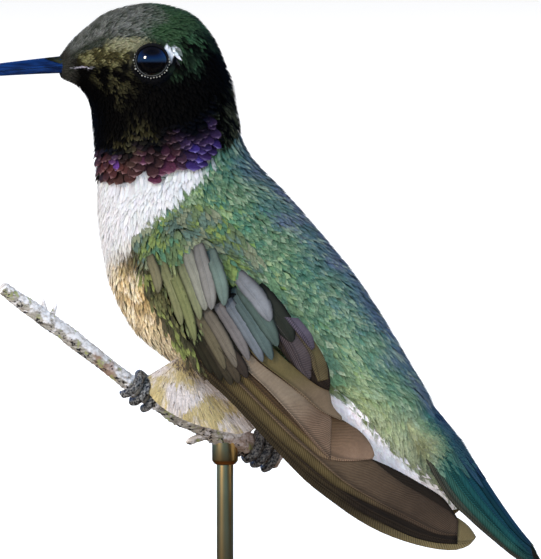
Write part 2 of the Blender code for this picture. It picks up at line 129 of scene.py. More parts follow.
# %% The socket wrapper
class Wire:
    """A socket of a material, with operators that add the nodes they need."""

    def __init__(self, tree, socket=None):
        self.tree, self.socket = tree, socket

    def add(self, kind, settings=None, inputs=None, output=0):
        node = self.tree.nodes.new(kind)
        for key, value in (settings or {}).items():
            if key == "stops":
                self.set_stops(node.color_ramp, value)
            else:
                setattr(node, key, value)
        for key, value in (inputs or {}).items():
            if isinstance(value, Wire):
                self.tree.links.new(value.socket, node.inputs[key])
            else:
                node.inputs[key].default_value = value
        return Wire(self.tree, node.outputs[output])

    @staticmethod
    def set_stops(ramp, stops):
        while len(ramp.elements) < len(stops):
            ramp.elements.new(0.5)
        for spot, (place, colour) in zip(ramp.elements, stops):
            spot.position = place
            spot.color = (*colour, 1)

    def place(self):
        """Where the shaded point is on its object."""
        return self.add("ShaderNodeTexCoord", None, None, 3)

    def carried(self, name, output=0):
        """What the vertices carry under this name: output 0 is a colour and 2 a number."""
        return self.add("ShaderNodeAttribute", {"attribute_name": name}, None, output)

    def maths(self, operation, *values):
        return self.add("ShaderNodeMath", {"operation": operation}, dict(enumerate(values)))

    def __add__(self, other): return self.maths("ADD", self, other)
    def __radd__(self, other): return self.maths("ADD", other, self)
    def __sub__(self, other): return self.maths("SUBTRACT", self, other)
    def __rsub__(self, other): return self.maths("SUBTRACT", other, self)
    def __mul__(self, other): return self.maths("MULTIPLY", self, other)
    def __rmul__(self, other): return self.maths("MULTIPLY", other, self)
    def __abs__(self): return self.maths("ABSOLUTE", self)

    def rise(self, low, high):
        """0 below low, 1 above high and smooth between."""
        return self.add("ShaderNodeMapRange", {"interpolation_type": "SMOOTHSTEP"},
                        {"Value": self, "From Min": low, "From Max": high})

    def between(self, first, second):
        """The first colour where this is 0 and the second where it is 1."""
        def as_colour(value):
            return value if isinstance(value, Wire) else (*value, 1)
        return self.add("ShaderNodeMix", {"data_type": "RGBA", "clamp_factor": True},
                        {0: self, 6: as_colour(first), 7: as_colour(second)}, 2)

    def tinted(self, amount):
        """This colour times a number that may vary."""
        grey = self.add("ShaderNodeCombineColor", None, {k: amount for k in range(3)})
        return self.add("ShaderNodeMix", {"data_type": "RGBA", "blend_type": "MULTIPLY"},
                        {0: 1.0, 6: self, 7: grey}, 2)

    def noise(self, scale, detail=2.0, roughness=0.5):
        """Noise at this vector."""
        return self.add("ShaderNodeTexNoise", None, {
            "Vector": self, "Scale": scale, "Detail": detail, "Roughness": roughness})

    def stretched(self, scale, turn=(0, 0, 0)):
        return self.add("ShaderNodeMapping", None, {
            "Vector": self, "Rotation": turn, "Scale": scale})

    def parts(self):
        split = self.add("ShaderNodeSeparateXYZ", None, {0: self}).socket.node
        return [Wire(self.tree, socket) for socket in split.outputs]


def rgb(red, green, blue):
    """A screen colour of 0 to 255 as the linear values that materials hold."""
    share = np.array([red, green, blue]) / 255
    return tuple(np.where(share <= 0.04045, share / 12.92, ((share + 0.055) / 1.055) ** 2.4))


def finish(name, **constants):
    """A new material, its Principled shader and a wire to start from."""
    made = bpy.data.materials.new(name)
    made.use_nodes = True
    shader = made.node_tree.nodes["Principled BSDF"]
    for key, value in constants.items():
        shader.inputs[key.replace("_", " ")].default_value = value
    return made, shader, Wire(made.node_tree)


def feed(wire, shader, socket):
    wire.tree.links.new(wire.socket, shader.inputs[socket])


def bump(wire, height, strength, distance):
    """A Bump node fed by a height."""
    return wire.add("ShaderNodeBump", None, {
        "Height": height, "Strength": strength, "Distance": distance})


# %% [markdown]
# ## What surrounds the bird
# A bright studio would put a grey haze on black feathers and on the eye. So the surroundings
# are told apart by the kind of ray: they light every surface with an even near-white, they
# look white behind the model, and what mirrors in glossy things is a landscape, dark ground
# below and blue sky above it that darkens overhead.

# %% Surroundings
WORLD_LIGHT = (0.62, 0.61, 0.59)
world = bpy.data.worlds.new("studio")
bpy.context.scene.world = world
world.use_nodes = True
wire = Wire(world.node_tree)
height = wire.add("ShaderNodeTexCoord", None, None, 0).parts()[2]
landscape = wire.add("ShaderNodeValToRGB", {"stops": [
    (0.0, (0.02, 0.02, 0.02)), (0.47, (0.02, 0.02, 0.03)), (0.52, (0.12, 0.24, 0.60)),
    (0.60, (0.14, 0.42, 1.0)), (0.74, (0.06, 0.26, 1.0)), (0.84, (0.05, 0.14, 0.52)),
    (0.90, (0.07, 0.08, 0.14)), (1.0, (0.03, 0.04, 0.09))]}, {"Fac": height * 0.5 + 0.5})
is_glossy = wire.add("ShaderNodeLightPath", None, None, "Is Glossy Ray")
is_camera = wire.add("ShaderNodeLightPath", None, None, "Is Camera Ray")
surroundings = is_camera.between(is_glossy.between(WORLD_LIGHT, landscape), (0.97, 0.97, 0.97))
world.node_tree.links.new(surroundings.socket, world.node_tree.nodes["Background"].inputs["Color"])

# %% [markdown]
# ## The floor
# A plain pale floor, far wider than the view, so that its far edge shows only to a camera
# that looks nearly level, and then as a faint line. It glows a little, as snow or a lit table
# does, which keeps it pale far from the lamps and throws soft light up under the bird.

# %% Floor
bpy.ops.object.select_all(action="DESELECT")
bpy.ops.mesh.primitive_plane_add(size=60)
floor = bpy.context.object
floor.name = "floor"
FLOOR_GLOW = 0.30
floor_paint, shader, wire = finish("floor_paint", Roughness=0.9, Specular_IOR_Level=0.1)
shade = wire.place().noise(3.0)
feed(shade.between((0.90, 0.90, 0.90), (0.92, 0.92, 0.92)), shader, "Base Color")
shader.inputs["Emission Color"].default_value = (1, 1, 1, 1)
shader.inputs["Emission Strength"].default_value = FLOOR_GLOW
floor.data.materials.append(floor_paint)
floor.visible_glossy = False

# %% [markdown]
# ## One helper for most shapes
# A skin, a bill, a toe and a twig are all rows of points that a sheet is stretched over. In
# Blender that sheet can be a grid primitive: it is added flat, each vertex is moved to its
# place, the seam is merged and the ends are filled. The grid brings a UV map along, which
# is then an unwrap of the shape itself.


# %% Stretching a grid over rows of points
def from_grid(name, points, wraps=False):
    """A grid primitive stretched over rows of points, closed into a solid if it wraps."""
    rows, columns = points.shape[:2]
    across = columns if wraps else columns - 1
    bpy.ops.object.select_all(action="DESELECT")
    bpy.ops.mesh.primitive_grid_add(x_subdivisions=across, y_subdivisions=rows - 1, size=2)
    obj = bpy.context.object
    obj.name = obj.data.name = name
    flat = np.array([v.co for v in obj.data.vertices])
    column = np.rint((flat[:, 0] + 1) / 2 * across).astype(int) % columns
    row = np.rint((flat[:, 1] + 1) / 2 * (rows - 1)).astype(int)
    obj.data.vertices.foreach_set("co", (points[row, column] * MM).astype(np.float32).ravel())
    obj.data.uv_layers[0].name = "OFBake"
    if wraps:
        bpy.ops.object.mode_set(mode="EDIT")
        bpy.ops.mesh.select_all(action="SELECT")
        bpy.ops.mesh.remove_doubles(threshold=1e-7)
        bpy.ops.mesh.select_all(action="SELECT")
        bpy.ops.mesh.fill_holes(sides=0)
        bpy.ops.mesh.select_all(action="SELECT")
        bpy.ops.mesh.normals_make_consistent(inside=False)
        bpy.ops.object.mode_set(mode="OBJECT")
    bpy.ops.object.shade_smooth()
    return obj


def joined(name, pieces):
    """Several finished pieces as one object."""
    bpy.ops.object.select_all(action="DESELECT")
    for piece in pieces:
        piece.select_set(True)
    bpy.context.view_layer.objects.active = pieces[0]
    bpy.ops.object.join()
    obj = bpy.context.object
    obj.name = obj.data.name = name
    return obj


def shown(obj, material, replaced=()):
    """Gives a piece its material and its place in the frame."""
    obj.data.materials.clear()
    obj.data.materials.append(material)
    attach(obj, "root")
    if replaced:
        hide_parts(*replaced)
    print(obj.name, len(obj.data.vertices), "points,",
          sum(p.loop_total - 2 for p in obj.data.polygons), "triangles")


# %% [markdown]
# ## The body's own surface
# Skin and coat both hang on one mathematical surface: sections from the bill's base to
# under the tail, each a ring round the body. A place on it is a section number s and an
# angle round from the back. Feathers are laid by walking over this surface, so it is kept
# as a fine table of points and normals that can be read anywhere.

# %% Sections and rings
NECK_X, NECK_Y = -5.5, -0.8
HEAD_TURN, TRUNK_TURN = radians(12), radians(-8)
TURN_STARTS, TURN_ENDS = 7.0, 13.0
# point on the back line, point on the belly line, half width, rise of the widest place
SECTIONS = [
    ((-16.2, 61.4), (-15.9, 59.5), 0.95, 0.0), ((-14.9, 63.1), (-14.4, 58.8), 1.95, 0.0),
    ((-13.2, 64.6), (-13.3, 57.6), 3.00, 0.0), ((-11.0, 66.0), (-12.8, 56.2), 4.15, 0.0),
    ((-7.2, 66.7), (-12.7, 54.4), 5.10, 0.0), ((-3.4, 65.8), (-12.6, 52.8), 5.60, 0.0),
    ((-1.1, 63.5), (-12.5, 51.3), 5.80, -0.1), ((0.2, 60.6), (-12.3, 50.0), 5.75, -0.1),
    ((0.9, 57.8), (-12.3, 48.7), 5.60, -0.1), ((1.5, 55.3), (-12.3, 47.2), 5.60, 0.0),
    ((1.8, 53.3), (-12.2, 45.6), 5.90, 0.0), ((3.1, 51.3), (-12.0, 43.8), 6.40, 0.0),
    ((6.0, 48.4), (-11.6, 41.7), 6.80, 0.0), ((9.4, 44.6), (-11.1, 39.5), 6.90, 0.05),
    ((12.7, 40.6), (-9.9, 36.9), 6.80, 0.1), ((15.5, 36.4), (-8.0, 34.3), 6.40, 0.15),
    ((18.0, 32.2), (-3.4, 30.9), 5.80, 0.2), ((19.9, 28.9), (1.9, 27.0), 5.10, 0.3),
    ((20.9, 25.9), (7.2, 23.8), 3.90, 0.2), ((21.9, 23.3), (12.0, 21.3), 2.90, 0.0),
    ((23.0, 20.8), (16.6, 19.4), 2.10, 0.0), ((23.8, 18.6), (20.6, 18.0), 1.00, 0.0)]
LAST = len(SECTIONS) - 1.0


def through(values, at):
    """A smooth curve through rows of values, read at positions counted in rows."""
    values = np.asarray(values, float)
    rows = np.vstack([2 * values[0] - values[1], values, 2 * values[-1] - values[-2]])
    at = np.clip(np.asarray(at, float), 0, len(values) - 1 - 1e-9)
    first = np.floor(at).astype(int)
    u = (at - first)[:, None]
    a, b, c, d = (rows[first + k] for k in range(4))
    return 0.5 * (2 * b + (c - a) * u + (2 * a - 5 * b + 4 * c - d) * u**2
                  + (3 * b - a - 3 * c + d) * u**3)


def turned(points, angle):
    """Points of the bird's own frame, turned about the upright line through the neck."""
    points = np.array(points, float)
    along, across = points[..., 0] - NECK_X, points[..., 1]
    x = NECK_X + along * np.cos(angle) - across * np.sin(angle)
    y = NECK_Y + along * np.sin(angle) + across * np.cos(angle)
    return np.stack([x, y, points[..., 2]], axis=-1)


def mirrored(points, angle):
    """Points of the bird's left side on its right, across the plane turned by angle."""
    back = points - np.array([NECK_X, NECK_Y, 0])
    normal = np.array([-sin(angle), cos(angle), 0])
    return points - 2 * (back @ normal)[..., None] * normal


def body_rings(at, round_by):
    table = through([(*d, *v, half, wide) for d, v, half, wide in SECTIONS], at)
    back, belly, half, wide = table[:, 0:2], table[:, 2:4], table[:, 4], table[:, 5]
    c, s = np.cos(round_by), np.sin(round_by)
    up = c[None, :] + wide[:, None] * s[None, :] ** 2
    middle, arm = (back + belly) / 2, (back - belly) / 2
    flat = middle[:, None, :] + up[:, :, None] * arm[:, None, :]
    rings = np.stack([flat[..., 0], -half[:, None] * s[None, :], flat[..., 1]], axis=-1)
    share = np.clip((np.asarray(at) - TURN_STARTS) / (TURN_ENDS - TURN_STARTS), 0, 1)
    share = share * share * (3 - 2 * share)
    return turned(rings, (HEAD_TURN + (TRUNK_TURN - HEAD_TURN) * share)[:, None])


# %% [markdown]
# A Surface is a table of points that can be read between its rows and columns. It also
# gives the outward normal and how the place moves with the row and column, which turns a
# step in millimetres into a step in the table.


# %% Reading places off a surface
def unit(vectors):
    return vectors / np.maximum(np.linalg.norm(vectors, axis=-1, keepdims=True), 1e-9)


class Surface:
    def __init__(self, points, wraps):
        self.wraps = wraps
        self.rows, self.columns = points.shape[:2]
        if wraps:
            points = np.concatenate([points, points[:, :1]], axis=1)
        down = np.gradient(points, axis=0)
        if wraps:
            long = np.concatenate([points[:, -2:-1], points, points[:, 1:2]], axis=1)
            over = np.gradient(long, axis=1)[:, 1:-1]
        else:
            over = np.gradient(points, axis=1)
        self.tables = np.concatenate([points, unit(np.cross(over, down)), down, over], axis=-1)

    def read(self, row, column):
        """Point, normal and the two steps at fractional rows and columns."""
        top = self.tables.shape[1] - 1
        row = np.clip(row, 0, self.rows - 1.001)
        column = column % self.columns if self.wraps else np.clip(column, 0, top - 0.001)
        i, j = np.floor(row).astype(int), np.minimum(np.floor(column).astype(int), top - 1)
        a, b = (row - i)[..., None], (column - j)[..., None]
        t = self.tables
        mixed = ((t[i, j] * (1 - b) + t[i, j + 1] * b) * (1 - a)
                 + (t[i + 1, j] * (1 - b) + t[i + 1, j + 1] * b) * a)
        return mixed[..., 0:3], unit(mixed[..., 3:6]), mixed[..., 6:9], mixed[..., 9:12]

    def walk(self, row, column, step):
        """The row and column that a small step in millimetres leads to."""
        _, _, down, over = self.read(row, column)
        dd, oo, do = ((p * q).sum(-1) for p, q in ((down, down), (over, over), (down, over)))
        ds, os = (down * step).sum(-1), (over * step).sum(-1)
        size = np.maximum(dd * oo - do * do, 1e-9)
        return row + (oo * ds - do * os) / size, column + (dd * os - do * ds) / size


ROWS_PER_SECTION, BODY_COLUMNS = 20, 240
body_at = np.linspace(0, LAST, int(LAST) * ROWS_PER_SECTION + 1)
body_round = np.linspace(0, 2 * pi, BODY_COLUMNS, endpoint=False)
body = Surface(body_rings(body_at, body_round), True)


def on_body(s, phi):
    """Rows and columns of the body's table for section numbers and angles."""
    return np.asarray(s) * ROWS_PER_SECTION, np.asarray(phi) / (2 * pi) * BODY_COLUMNS


print("body surface, mm:", body.tables[..., :3].reshape(-1, 3).min(0).round(1),
      body.tables[..., :3].reshape(-1, 3).max(0).round(1))

# %% [markdown]
# ## The markings
# Skin and feathers carry the same colours, so one function answers for both. It takes a
# section number and an angle from the back, in degrees, and paints region over region:
# green back, buff belly, white flank and collar, black head, grey and olive crown, and the
# violet lower edge of the throat. The blue-green, blue and grey-violet along the spine is a
# painted reflection of the sky. The edges are read from short tables of where they cross
# each angle.


# %% Noise and the edges of the markings
def from_back(degrees):
    """The angle from the back's line, the same on left and right."""
    return np.abs((degrees + 180) % 360 - 180)


def mottle(points, size, seed, octaves=3):
    """Smooth noise of about -1 to 1 whose patches are about size across."""
    draw = np.random.default_rng(seed)
    total, weight = 0.0, 1.0
    for _ in range(octaves):
        for _ in range(5):
            way = unit(draw.normal(size=3)) * (pi / size) * draw.uniform(0.7, 1.3)
            total = total + weight * np.sin(points @ way + draw.uniform(0, 2 * pi))
        size, weight = size * 0.5, weight * 0.6
    return total / 3.2


def edge(table):
    """A line through pairs of place and value, as a function of the place."""
    places, values = zip(*table)
    return lambda at: np.interp(at, places, values)


THROAT_ENDS = edge([(0, 9.2), (40, 9.45), (50, 9.65), (60, 9.75), (70, 9.7), (82, 9.35),
                    (91, 9.03), (100, 9.25), (108, 8.6), (117, 8.12), (126, 8.35), (133, 8.3),
                    (145, 7.7), (160, 7.1), (180, 6.7)])
COLLAR_ENDS = edge([(0, 9.0), (40, 9.2), (50, 9.6), (60, 9.8), (72, 10.0), (81, 10.15), (92, 10.5),
                    (104, 10.75), (117, 11.0), (132, 11.35), (148, 11.65), (167, 11.95), (180, 12.0)])
WHITE_STARTS = edge([(15.5, 104), (16.0, 98), (16.4, 94), (16.95, 92), (17.6, 86), (18.2, 78),
                     (18.8, 72), (19.7, 68), (21, 70)])


def markings(s, degrees, points):
    """Tint, tip tint and gloss at places on the body."""
    p = from_back(degrees)
    big, mid, small, fine = (mottle(points, size, 11 + k)
                             for k, size in enumerate((5.0, 1.8, 0.7, 0.35)))
    tint = np.zeros((len(p), 3))
    tip = np.zeros((len(p), 3))
    gloss = np.zeros(len(p))

    def paint(share, colour, tip_colour, shine):
        share = np.clip(share, 0, 1)[:, None]
        tint[:] = tint * (1 - share) + np.array(rgb(*colour)) * share
        tip[:] = tip * (1 - share) + np.array(rgb(*tip_colour)) * share
        gloss[:] = gloss * (1 - share[:, 0]) + shine * share[:, 0]

    def rise(value, low, high):
        return np.clip((value - low) / (high - low), 0, 1)

    def spot(at_s, at_p, size_s, size_p):
        return 1.5 - np.hypot((s - at_s) / size_s, (p - at_p) / size_p)

    everywhere = np.ones(len(p))
    wobble = 6 * mid
    # Back
    paint(everywhere, (74, 110, 78), (124, 144, 110), 0.35)
    paint(rise(p + wobble, 62, 84), (82, 106, 58), (130, 146, 94), 0.35)
    paint(0.8 * rise(mid + 0.5 * small, 0.2, 0.6) * rise(p, 48, 66), (108, 136, 46), (152, 172, 84), 0.35)
    paint(0.75 * rise(mid - small, 0.3, 0.7), (54, 110, 92), (98, 142, 122), 0.45)
    # Blue-green, blue and grey-violet along the spine: painted reflection of the sky.
    paint(rise(-p + wobble, -46, -24), (62, 98, 102), (108, 132, 136), 0.4)
    paint(0.8 * rise(-p + 1.5 * wobble, -26, -8), (58, 76, 102), (104, 114, 136), 0.4)
    paint(0.5 * rise(big + mid, 0.6, 1.1) * rise(-p, -60, -30), (88, 90, 116), (122, 124, 144), 0.3)
    paint(0.25 * rise(s, 13.0, 15.0) * rise(p + wobble, 26, 44), (96, 130, 104), (150, 172, 148), 0.3)
    paint(0.8 * rise(s, 14.6, 16.3) * rise(p + wobble, 56, 80), (132, 144, 88), (180, 184, 138), 0.3)
    # Dark blue-green along the spine of the lower back: painted reflection of the sky.
    paint(0.6 * rise(s, 15.5, 17.0) * rise(-p + wobble, -36, -18), (40, 74, 84), (78, 104, 112), 0.4)
    paint(0.5 * rise(small + 0.4 * fine, 0.3, 0.8), (144, 158, 126), (172, 182, 154), 0.15)
    paint(0.5 * rise(-small + 0.4 * fine, 0.3, 0.8), (48, 74, 54), (84, 108, 86), 0.3)
    paint(0.85 * rise(s, 16.4, 17.8) * rise(p + 0.5 * wobble, 38, 56), (146, 150, 112), (190, 192, 160), 0.1)
    paint(0.8 * rise(s, 17.6, 18.8) * rise(-p, -70, -45), (34, 92, 92), (66, 116, 108), 0.5)
    paint(0.8 * rise(-s, -11.2, -10.2) * rise(p + wobble, 92, 112), (60, 56, 34), (104, 98, 66), 0.15)
    # Belly and breast sides
    under = rise(p + wobble, 106, 122) * rise(s, 10.9, 11.5)
    paint(under, (196, 166, 114), (224, 202, 158), 0.0)
    paint(under * 0.8 * rise(mid + 0.5 * small, 0.1, 0.6), (134, 108, 64), (176, 148, 100), 0.0)
    paint(under * 0.8 * rise(-mid + 0.6 * small, 0.1, 0.7), (218, 202, 172), (232, 222, 202), 0.0)
    paint(under * 0.6 * rise(s, 13.6, 15.0), (220, 204, 168), (234, 222, 196), 0.0)
    paint(0.9 * under * rise(-s, -13.2, -12.2) * rise(-p + wobble, -150, -132),
          (82, 70, 44), (126, 112, 78), 0.1)
    paint(0.6 * under * rise(-s, -12.4, -11.6) * rise(small, -0.3, 0.3), (70, 62, 40), (120, 108, 76), 0.1)
    paint(under * rise(p, 150, 172) * rise(-s, -13.8, -12.2), (214, 198, 170), (230, 218, 200), 0.0)
    paint(0.7 * rise(p - WHITE_STARTS(s) + 1.5 * small, -6, -2) * rise(s, 15.8, 16.8),
          (74, 82, 46), (118, 122, 80), 0.1)
    # White of flank and under the tail
    white = rise(p - WHITE_STARTS(s) + 1.5 * small, -1.5, 1.5) * rise(s, 15.6, 16.2)
    paint(white, (226, 217, 217), (242, 236, 236), 0.0)
    paint(white * 0.5 * rise(mid + small, 0.5, 0.9) * rise(s, 17, 18), (150, 142, 140), (226, 222, 222), 0.0)
    # Collar
    loose = 0.1 + 0.45 * rise(p, 98, 118)
    collar = rise(s, THROAT_ENDS(p) - 0.05, THROAT_ENDS(p) + 0.05) \
        * rise(-s, -COLLAR_ENDS(p) - loose - 0.02 + 0.1 * small, -COLLAR_ENDS(p) + loose + 0.25 * loose * mid)
    paint(collar * rise(p, 42, 48), (184, 180, 179), (198, 195, 193), 0.0)
    soiled = rise(s, COLLAR_ENDS(p) - 0.7, COLLAR_ENDS(p)) * rise(p, 96, 120)
    paint(collar * 0.7 * soiled * rise(small, -0.2, 0.5), (184, 172, 154), (206, 198, 184), 0.0)
    # Head: black, then crown, face and throat edge
    head = rise(-s, -THROAT_ENDS(p), -THROAT_ENDS(p) + 0.06)
    paint(head, (5, 4, 3), (12, 10, 8), 0.0)
    paint(head * rise(-p + 8 * mid, -60, -40) * rise(-s + 0.4 * mid, -6.1, -5.3),
          (20, 32, 22), (44, 62, 46), 0.2)
    paint(0.7 * head * rise(small + 0.6 * fine, 0.4, 0.8) * rise(-p, -60, -44) * rise(-s, -6.1, -5.4),
          (54, 88, 58), (92, 122, 90), 0.25)
    paint(0.8 * head * rise(s, 7.2, 7.9) * rise(-p + 10 * mid, -52, -36)
          * rise(small + 0.5 * fine, -0.4, 0.4), (46, 50, 34), (100, 102, 84), 0.1)
    paint(head * rise(-p + 6 * mid, -74, -58) * rise(-s + 0.3 * mid, -5.4, -4.6),
          (40, 62, 38), (78, 100, 72), 0.4)
    front = head * rise(-p + 4 * mid, -74, -62) * rise(-s + 0.3 * mid, -4.3, -3.5)
    paint(front, (82, 82, 76), (124, 124, 118), 0.08)
    paint(front * 0.7 * rise(small + 0.8 * fine, 0.1, 0.6), (44, 48, 38), (84, 86, 74), 0.1)
    paint(front * 0.5 * rise(-small + 0.8 * fine, 0.2, 0.7), (106, 106, 98), (146, 146, 138), 0.1)
    paint(front * 0.8 * rise(p, 48, 58) * rise(-s, -3.2, -2.4), (24, 30, 18), (50, 56, 38), 0.1)
    lore = head * rise(p + 4 * mid, 62, 70) * rise(-p, -98, -88) * rise(-s, -4.0, -3.5) * rise(s, 0.7, 1.2)
    paint(lore, (50, 46, 26), (84, 78, 50), 0.1)
    paint(lore * 0.9 * rise(small + 0.5 * fine, 0.0, 0.4), (110, 104, 68), (146, 140, 104), 0.15)
    brow = head * rise(p, 60, 65) * rise(-p, -78, -72) * rise(s, 2.3, 2.9) * rise(-s, -4.6, -4.1)
    paint(0.85 * brow, (124, 120, 90), (164, 160, 132), 0.1)
    paint(0.5 * head * rise(p, 94, 102) * rise(-p, -128, -116) * rise(s, 1.3, 2.2) * rise(-s, -4.6, -3.4)
          * rise(small + 0.5 * fine, -0.2, 0.5), (70, 66, 40), (106, 100, 72), 0.05)
    paint(head * spot(3.5, 91, 0.28, 6.0), (8, 7, 6), (12, 10, 9), 0.0)
    paint(head * rise(-s, -0.9, -0.3), (44, 42, 36), (66, 64, 58), 0.0)
    paint(1.2 * head * spot(0.95, 99, 0.62, 2.2), (140, 134, 140), (176, 170, 176), 0.0)
    paint(1.3 * head * spot(4.86, 67, 0.16, 6.0), (225, 225, 228), (244, 244, 244), 0.0)
    # The throat's edge
    depth = THROAT_ENDS(p) - s
    band = head * rise(p, 48, 54) * rise(-depth + 0.25 * mid, -2.0, -1.2)
    paint(0.7 * head * rise(p, 96, 104) * rise(-p, -160, -140) * rise(s, 4.4, 5.4) * rise(-depth, -3.6, -2.4)
          * rise(small + fine, 0.0, 0.5), (52, 46, 26), (96, 90, 60), 0.1)
    paint(band, (50, 27, 27), (146, 110, 110), 0.3)
    paint(band * rise(-p, -86, -74), (46, 30, 66), (134, 114, 160), 0.5)
    paint(band * 0.8 * rise(mid + small, 0.3, 0.7) * rise(-p, -84, -78), (58, 42, 104), (160, 142, 204), 0.6)
    paint(band * 0.8 * rise(small - mid, 0.0, 0.4) * rise(p, 84, 92) * rise(-p, -124, -112),
          (72, 30, 50), (180, 134, 146), 0.4)
    paint(band * 0.5 * rise(p, 116, 130), (78, 38, 32), (154, 112, 104), 0.3)
    paint(band * spot(6.15, 141, 0.3, 5.0), (84, 48, 116), (170, 134, 198), 0.6)
    paint(band * rise(p, 112, 128) * rise(-depth, -0.9, -0.5), (46, 26, 20), (92, 66, 54), 0.15)
    return tint, tip, gloss


# %% [markdown]
# ## The skin
# Under its coat the bird is one smooth skin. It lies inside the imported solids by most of
# the coat's depth, which is small on the face and greater on the trunk, and replaces head,
# neck, trunk and tail base at once, so no seam shows. Round each eye the skin sinks into a socket and rises
# in a soft fold, which is the rim that the lids close against.

# %% Skin
COAT_DEPTH = edge([(0, 0.10), (1.5, 0.18), (4, 0.28), (8, 0.42), (10, 0.5), (18, 0.5), (21, 0.3)])
SKIN_COLUMNS, SKIN_SHARE_OF_COAT = 160, 0.72
FOLD_HEIGHT, FOLD_RADIUS, FOLD_WIDTH = 0.26, 2.05, 0.28
SOCKET_DEPTH, SOCKET_RADIUS, SOCKET_SLOPE = 0.9, 1.75, 0.5

eye_box = {side: [np.array(v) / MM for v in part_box("eye_" + side)] for side in ("left", "right")}
eye_middle = {side: (low + high) / 2 for side, (low, high) in eye_box.items()}
EYE_RADIUS = float((eye_box["left"][1] - eye_box["left"][0])[2] / 2)

skin_at = np.linspace(0, LAST, 316)
skin_round = np.linspace(0, 2 * pi, SKIN_COLUMNS, endpoint=False)
row, column = on_body(*np.meshgrid(skin_at, skin_round, indexing="ij"))
skin_points, skin_normals, _, _ = body.read(row, column)
skin_points = skin_points - SKIN_SHARE_OF_COAT * skin_normals * COAT_DEPTH(skin_at)[:, None, None]
for centre in eye_middle.values():
    away = np.linalg.norm(skin_points - centre, axis=-1, keepdims=True)
    fold = FOLD_HEIGHT * np.exp(-((away - FOLD_RADIUS) / FOLD_WIDTH) ** 2)
    socket = -SOCKET_DEPTH * np.clip((SOCKET_RADIUS - away) / SOCKET_SLOPE, 0, 1)
    skin_points = skin_points + skin_normals * (fold + socket)
skin = from_grid("skin", skin_points, wraps=True)
print("eye radius, mm:", round(EYE_RADIUS, 2))


# %% [markdown]
# The markings go onto the skin as a colour attribute: one colour for each vertex, read by
# the material. A vertex finds its own place on the body by the nearest point of the table.


# %% Colours as attributes
def set_colours(mesh, tint, gloss):
    layer = mesh.color_attributes.new("Tint", "FLOAT_COLOR", "POINT")
    layer.data.foreach_set("color", np.c_[tint, np.ones(len(tint))].astype(np.float32).ravel())
    shine = mesh.attributes.new("Gloss", "FLOAT", "POINT")
    shine.data.foreach_set("value", gloss.astype(np.float32))


def one_colour(mesh, colour):
    """The same colour and no gloss for every vertex."""
    count = len(mesh.vertices)
    set_colours(mesh, np.tile(colour, (count, 1)), np.zeros(count))


def ramp(at, stops, tones):
    """Colours at values of at, read between tones that are set at stops."""
    tones = np.array([rgb(*tone) for tone in tones])
    return np.stack([np.interp(at, stops, tones[:, k]) for k in range(3)], axis=1)


coarse = body.tables[::4, ::4][:, :BODY_COLUMNS // 4]
finder = KDTree(coarse.shape[0] * coarse.shape[1])
for number, place in enumerate(coarse[..., :3].reshape(-1, 3)):
    finder.insert(place, number)
finder.balance()


def nearest_on_body(points):
    """Section numbers and angles in degrees of the places nearest to these points."""
    found = np.array([finder.find(p)[1] for p in points])
    return (found // coarse.shape[1] * 4 / ROWS_PER_SECTION,
            found % coarse.shape[1] * 4 / BODY_COLUMNS * 360)


places = np.array([v.co for v in skin.data.vertices]) / MM
tint, _, gloss = markings(*nearest_on_body(places), places)
pale = tint.min(axis=1, keepdims=True) > 0.4
set_colours(skin.data, tint * np.where(pale, 0.95, 0.6), gloss * 0)

skin_finish, shader, wire = finish("skin_down", Roughness=0.85, Specular_IOR_Level=0.2)
where = wire.place()
fuzz = where.noise(4000.0, 3.0)
colour = wire.carried("Tint")
feed(colour.tinted(0.7 + 0.5 * fuzz), shader, "Base Color")
feed(bump(wire, fuzz, 0.5, 0.0001), shader, "Normal")
shown(skin, skin_finish, ("head", "neck", "trunk", "tail_base"))

# %% [markdown]
# ## Modelling a feather once
# There are thousands of feathers, so each kind is modelled once: a narrow grid shaped into
# a vane, with thin barbs along its free edge that give the coat its soft outline. A pattern
# keeps across and along as shares of the feather's width and length, so one pattern serves
# every size.


# %% Feather patterns
class Pattern:
    """A feather in its own terms: across and along for each point, faces, and its fringe."""

    def __init__(self, places, faces, fringe):
        self.places, self.fringe = np.array(places, float), np.array(fringe, float)
        self.corners = np.array([c for face in faces for c in face])
        self.sizes = np.array([len(face) for face in faces])


def feather_pattern(outline, segments, barbs, spread, reach, thin, first=0.35, seed=1, columns=2):
    """A vane with an outline of half widths, and barbs from the share first to the tip."""
    bpy.ops.object.select_all(action="DESELECT")
    bpy.ops.mesh.primitive_grid_add(x_subdivisions=columns, y_subdivisions=segments, size=1)
    vane = bpy.context.object
    half = edge(outline)
    places, fringe = [], []
    for vertex in vane.data.vertices:
        side, along = vertex.co.x * 2, vertex.co.y + 0.5
        places.append((side * half(along), along - 0.09 * side * side * along**4))
        fringe.append(0.0)
    faces = [tuple(face.vertices) for face in vane.data.polygons]
    bpy.data.objects.remove(vane)
    draw = np.random.default_rng(seed)
    for side in (-1, 1):
        for k in range(barbs):
            along = first + (0.97 - first) * (k + 0.5) / barbs
            root = side * half(along) * 0.8
            size = draw.uniform(0.6, 1.3)
            tip_side = root + side * spread * size * (1.1 - 0.6 * along)
            start = len(places)
            places += [(root - side * 0.02, along - thin), (root, along + thin),
                       (tip_side, along + reach * size)]
            bright = draw.uniform(0.2, 1.0)
            fringe += [bright * 0.5, bright * 0.5, bright]
            faces.append((start, start + 1, start + 2))
    return Pattern(places, faces, fringe)


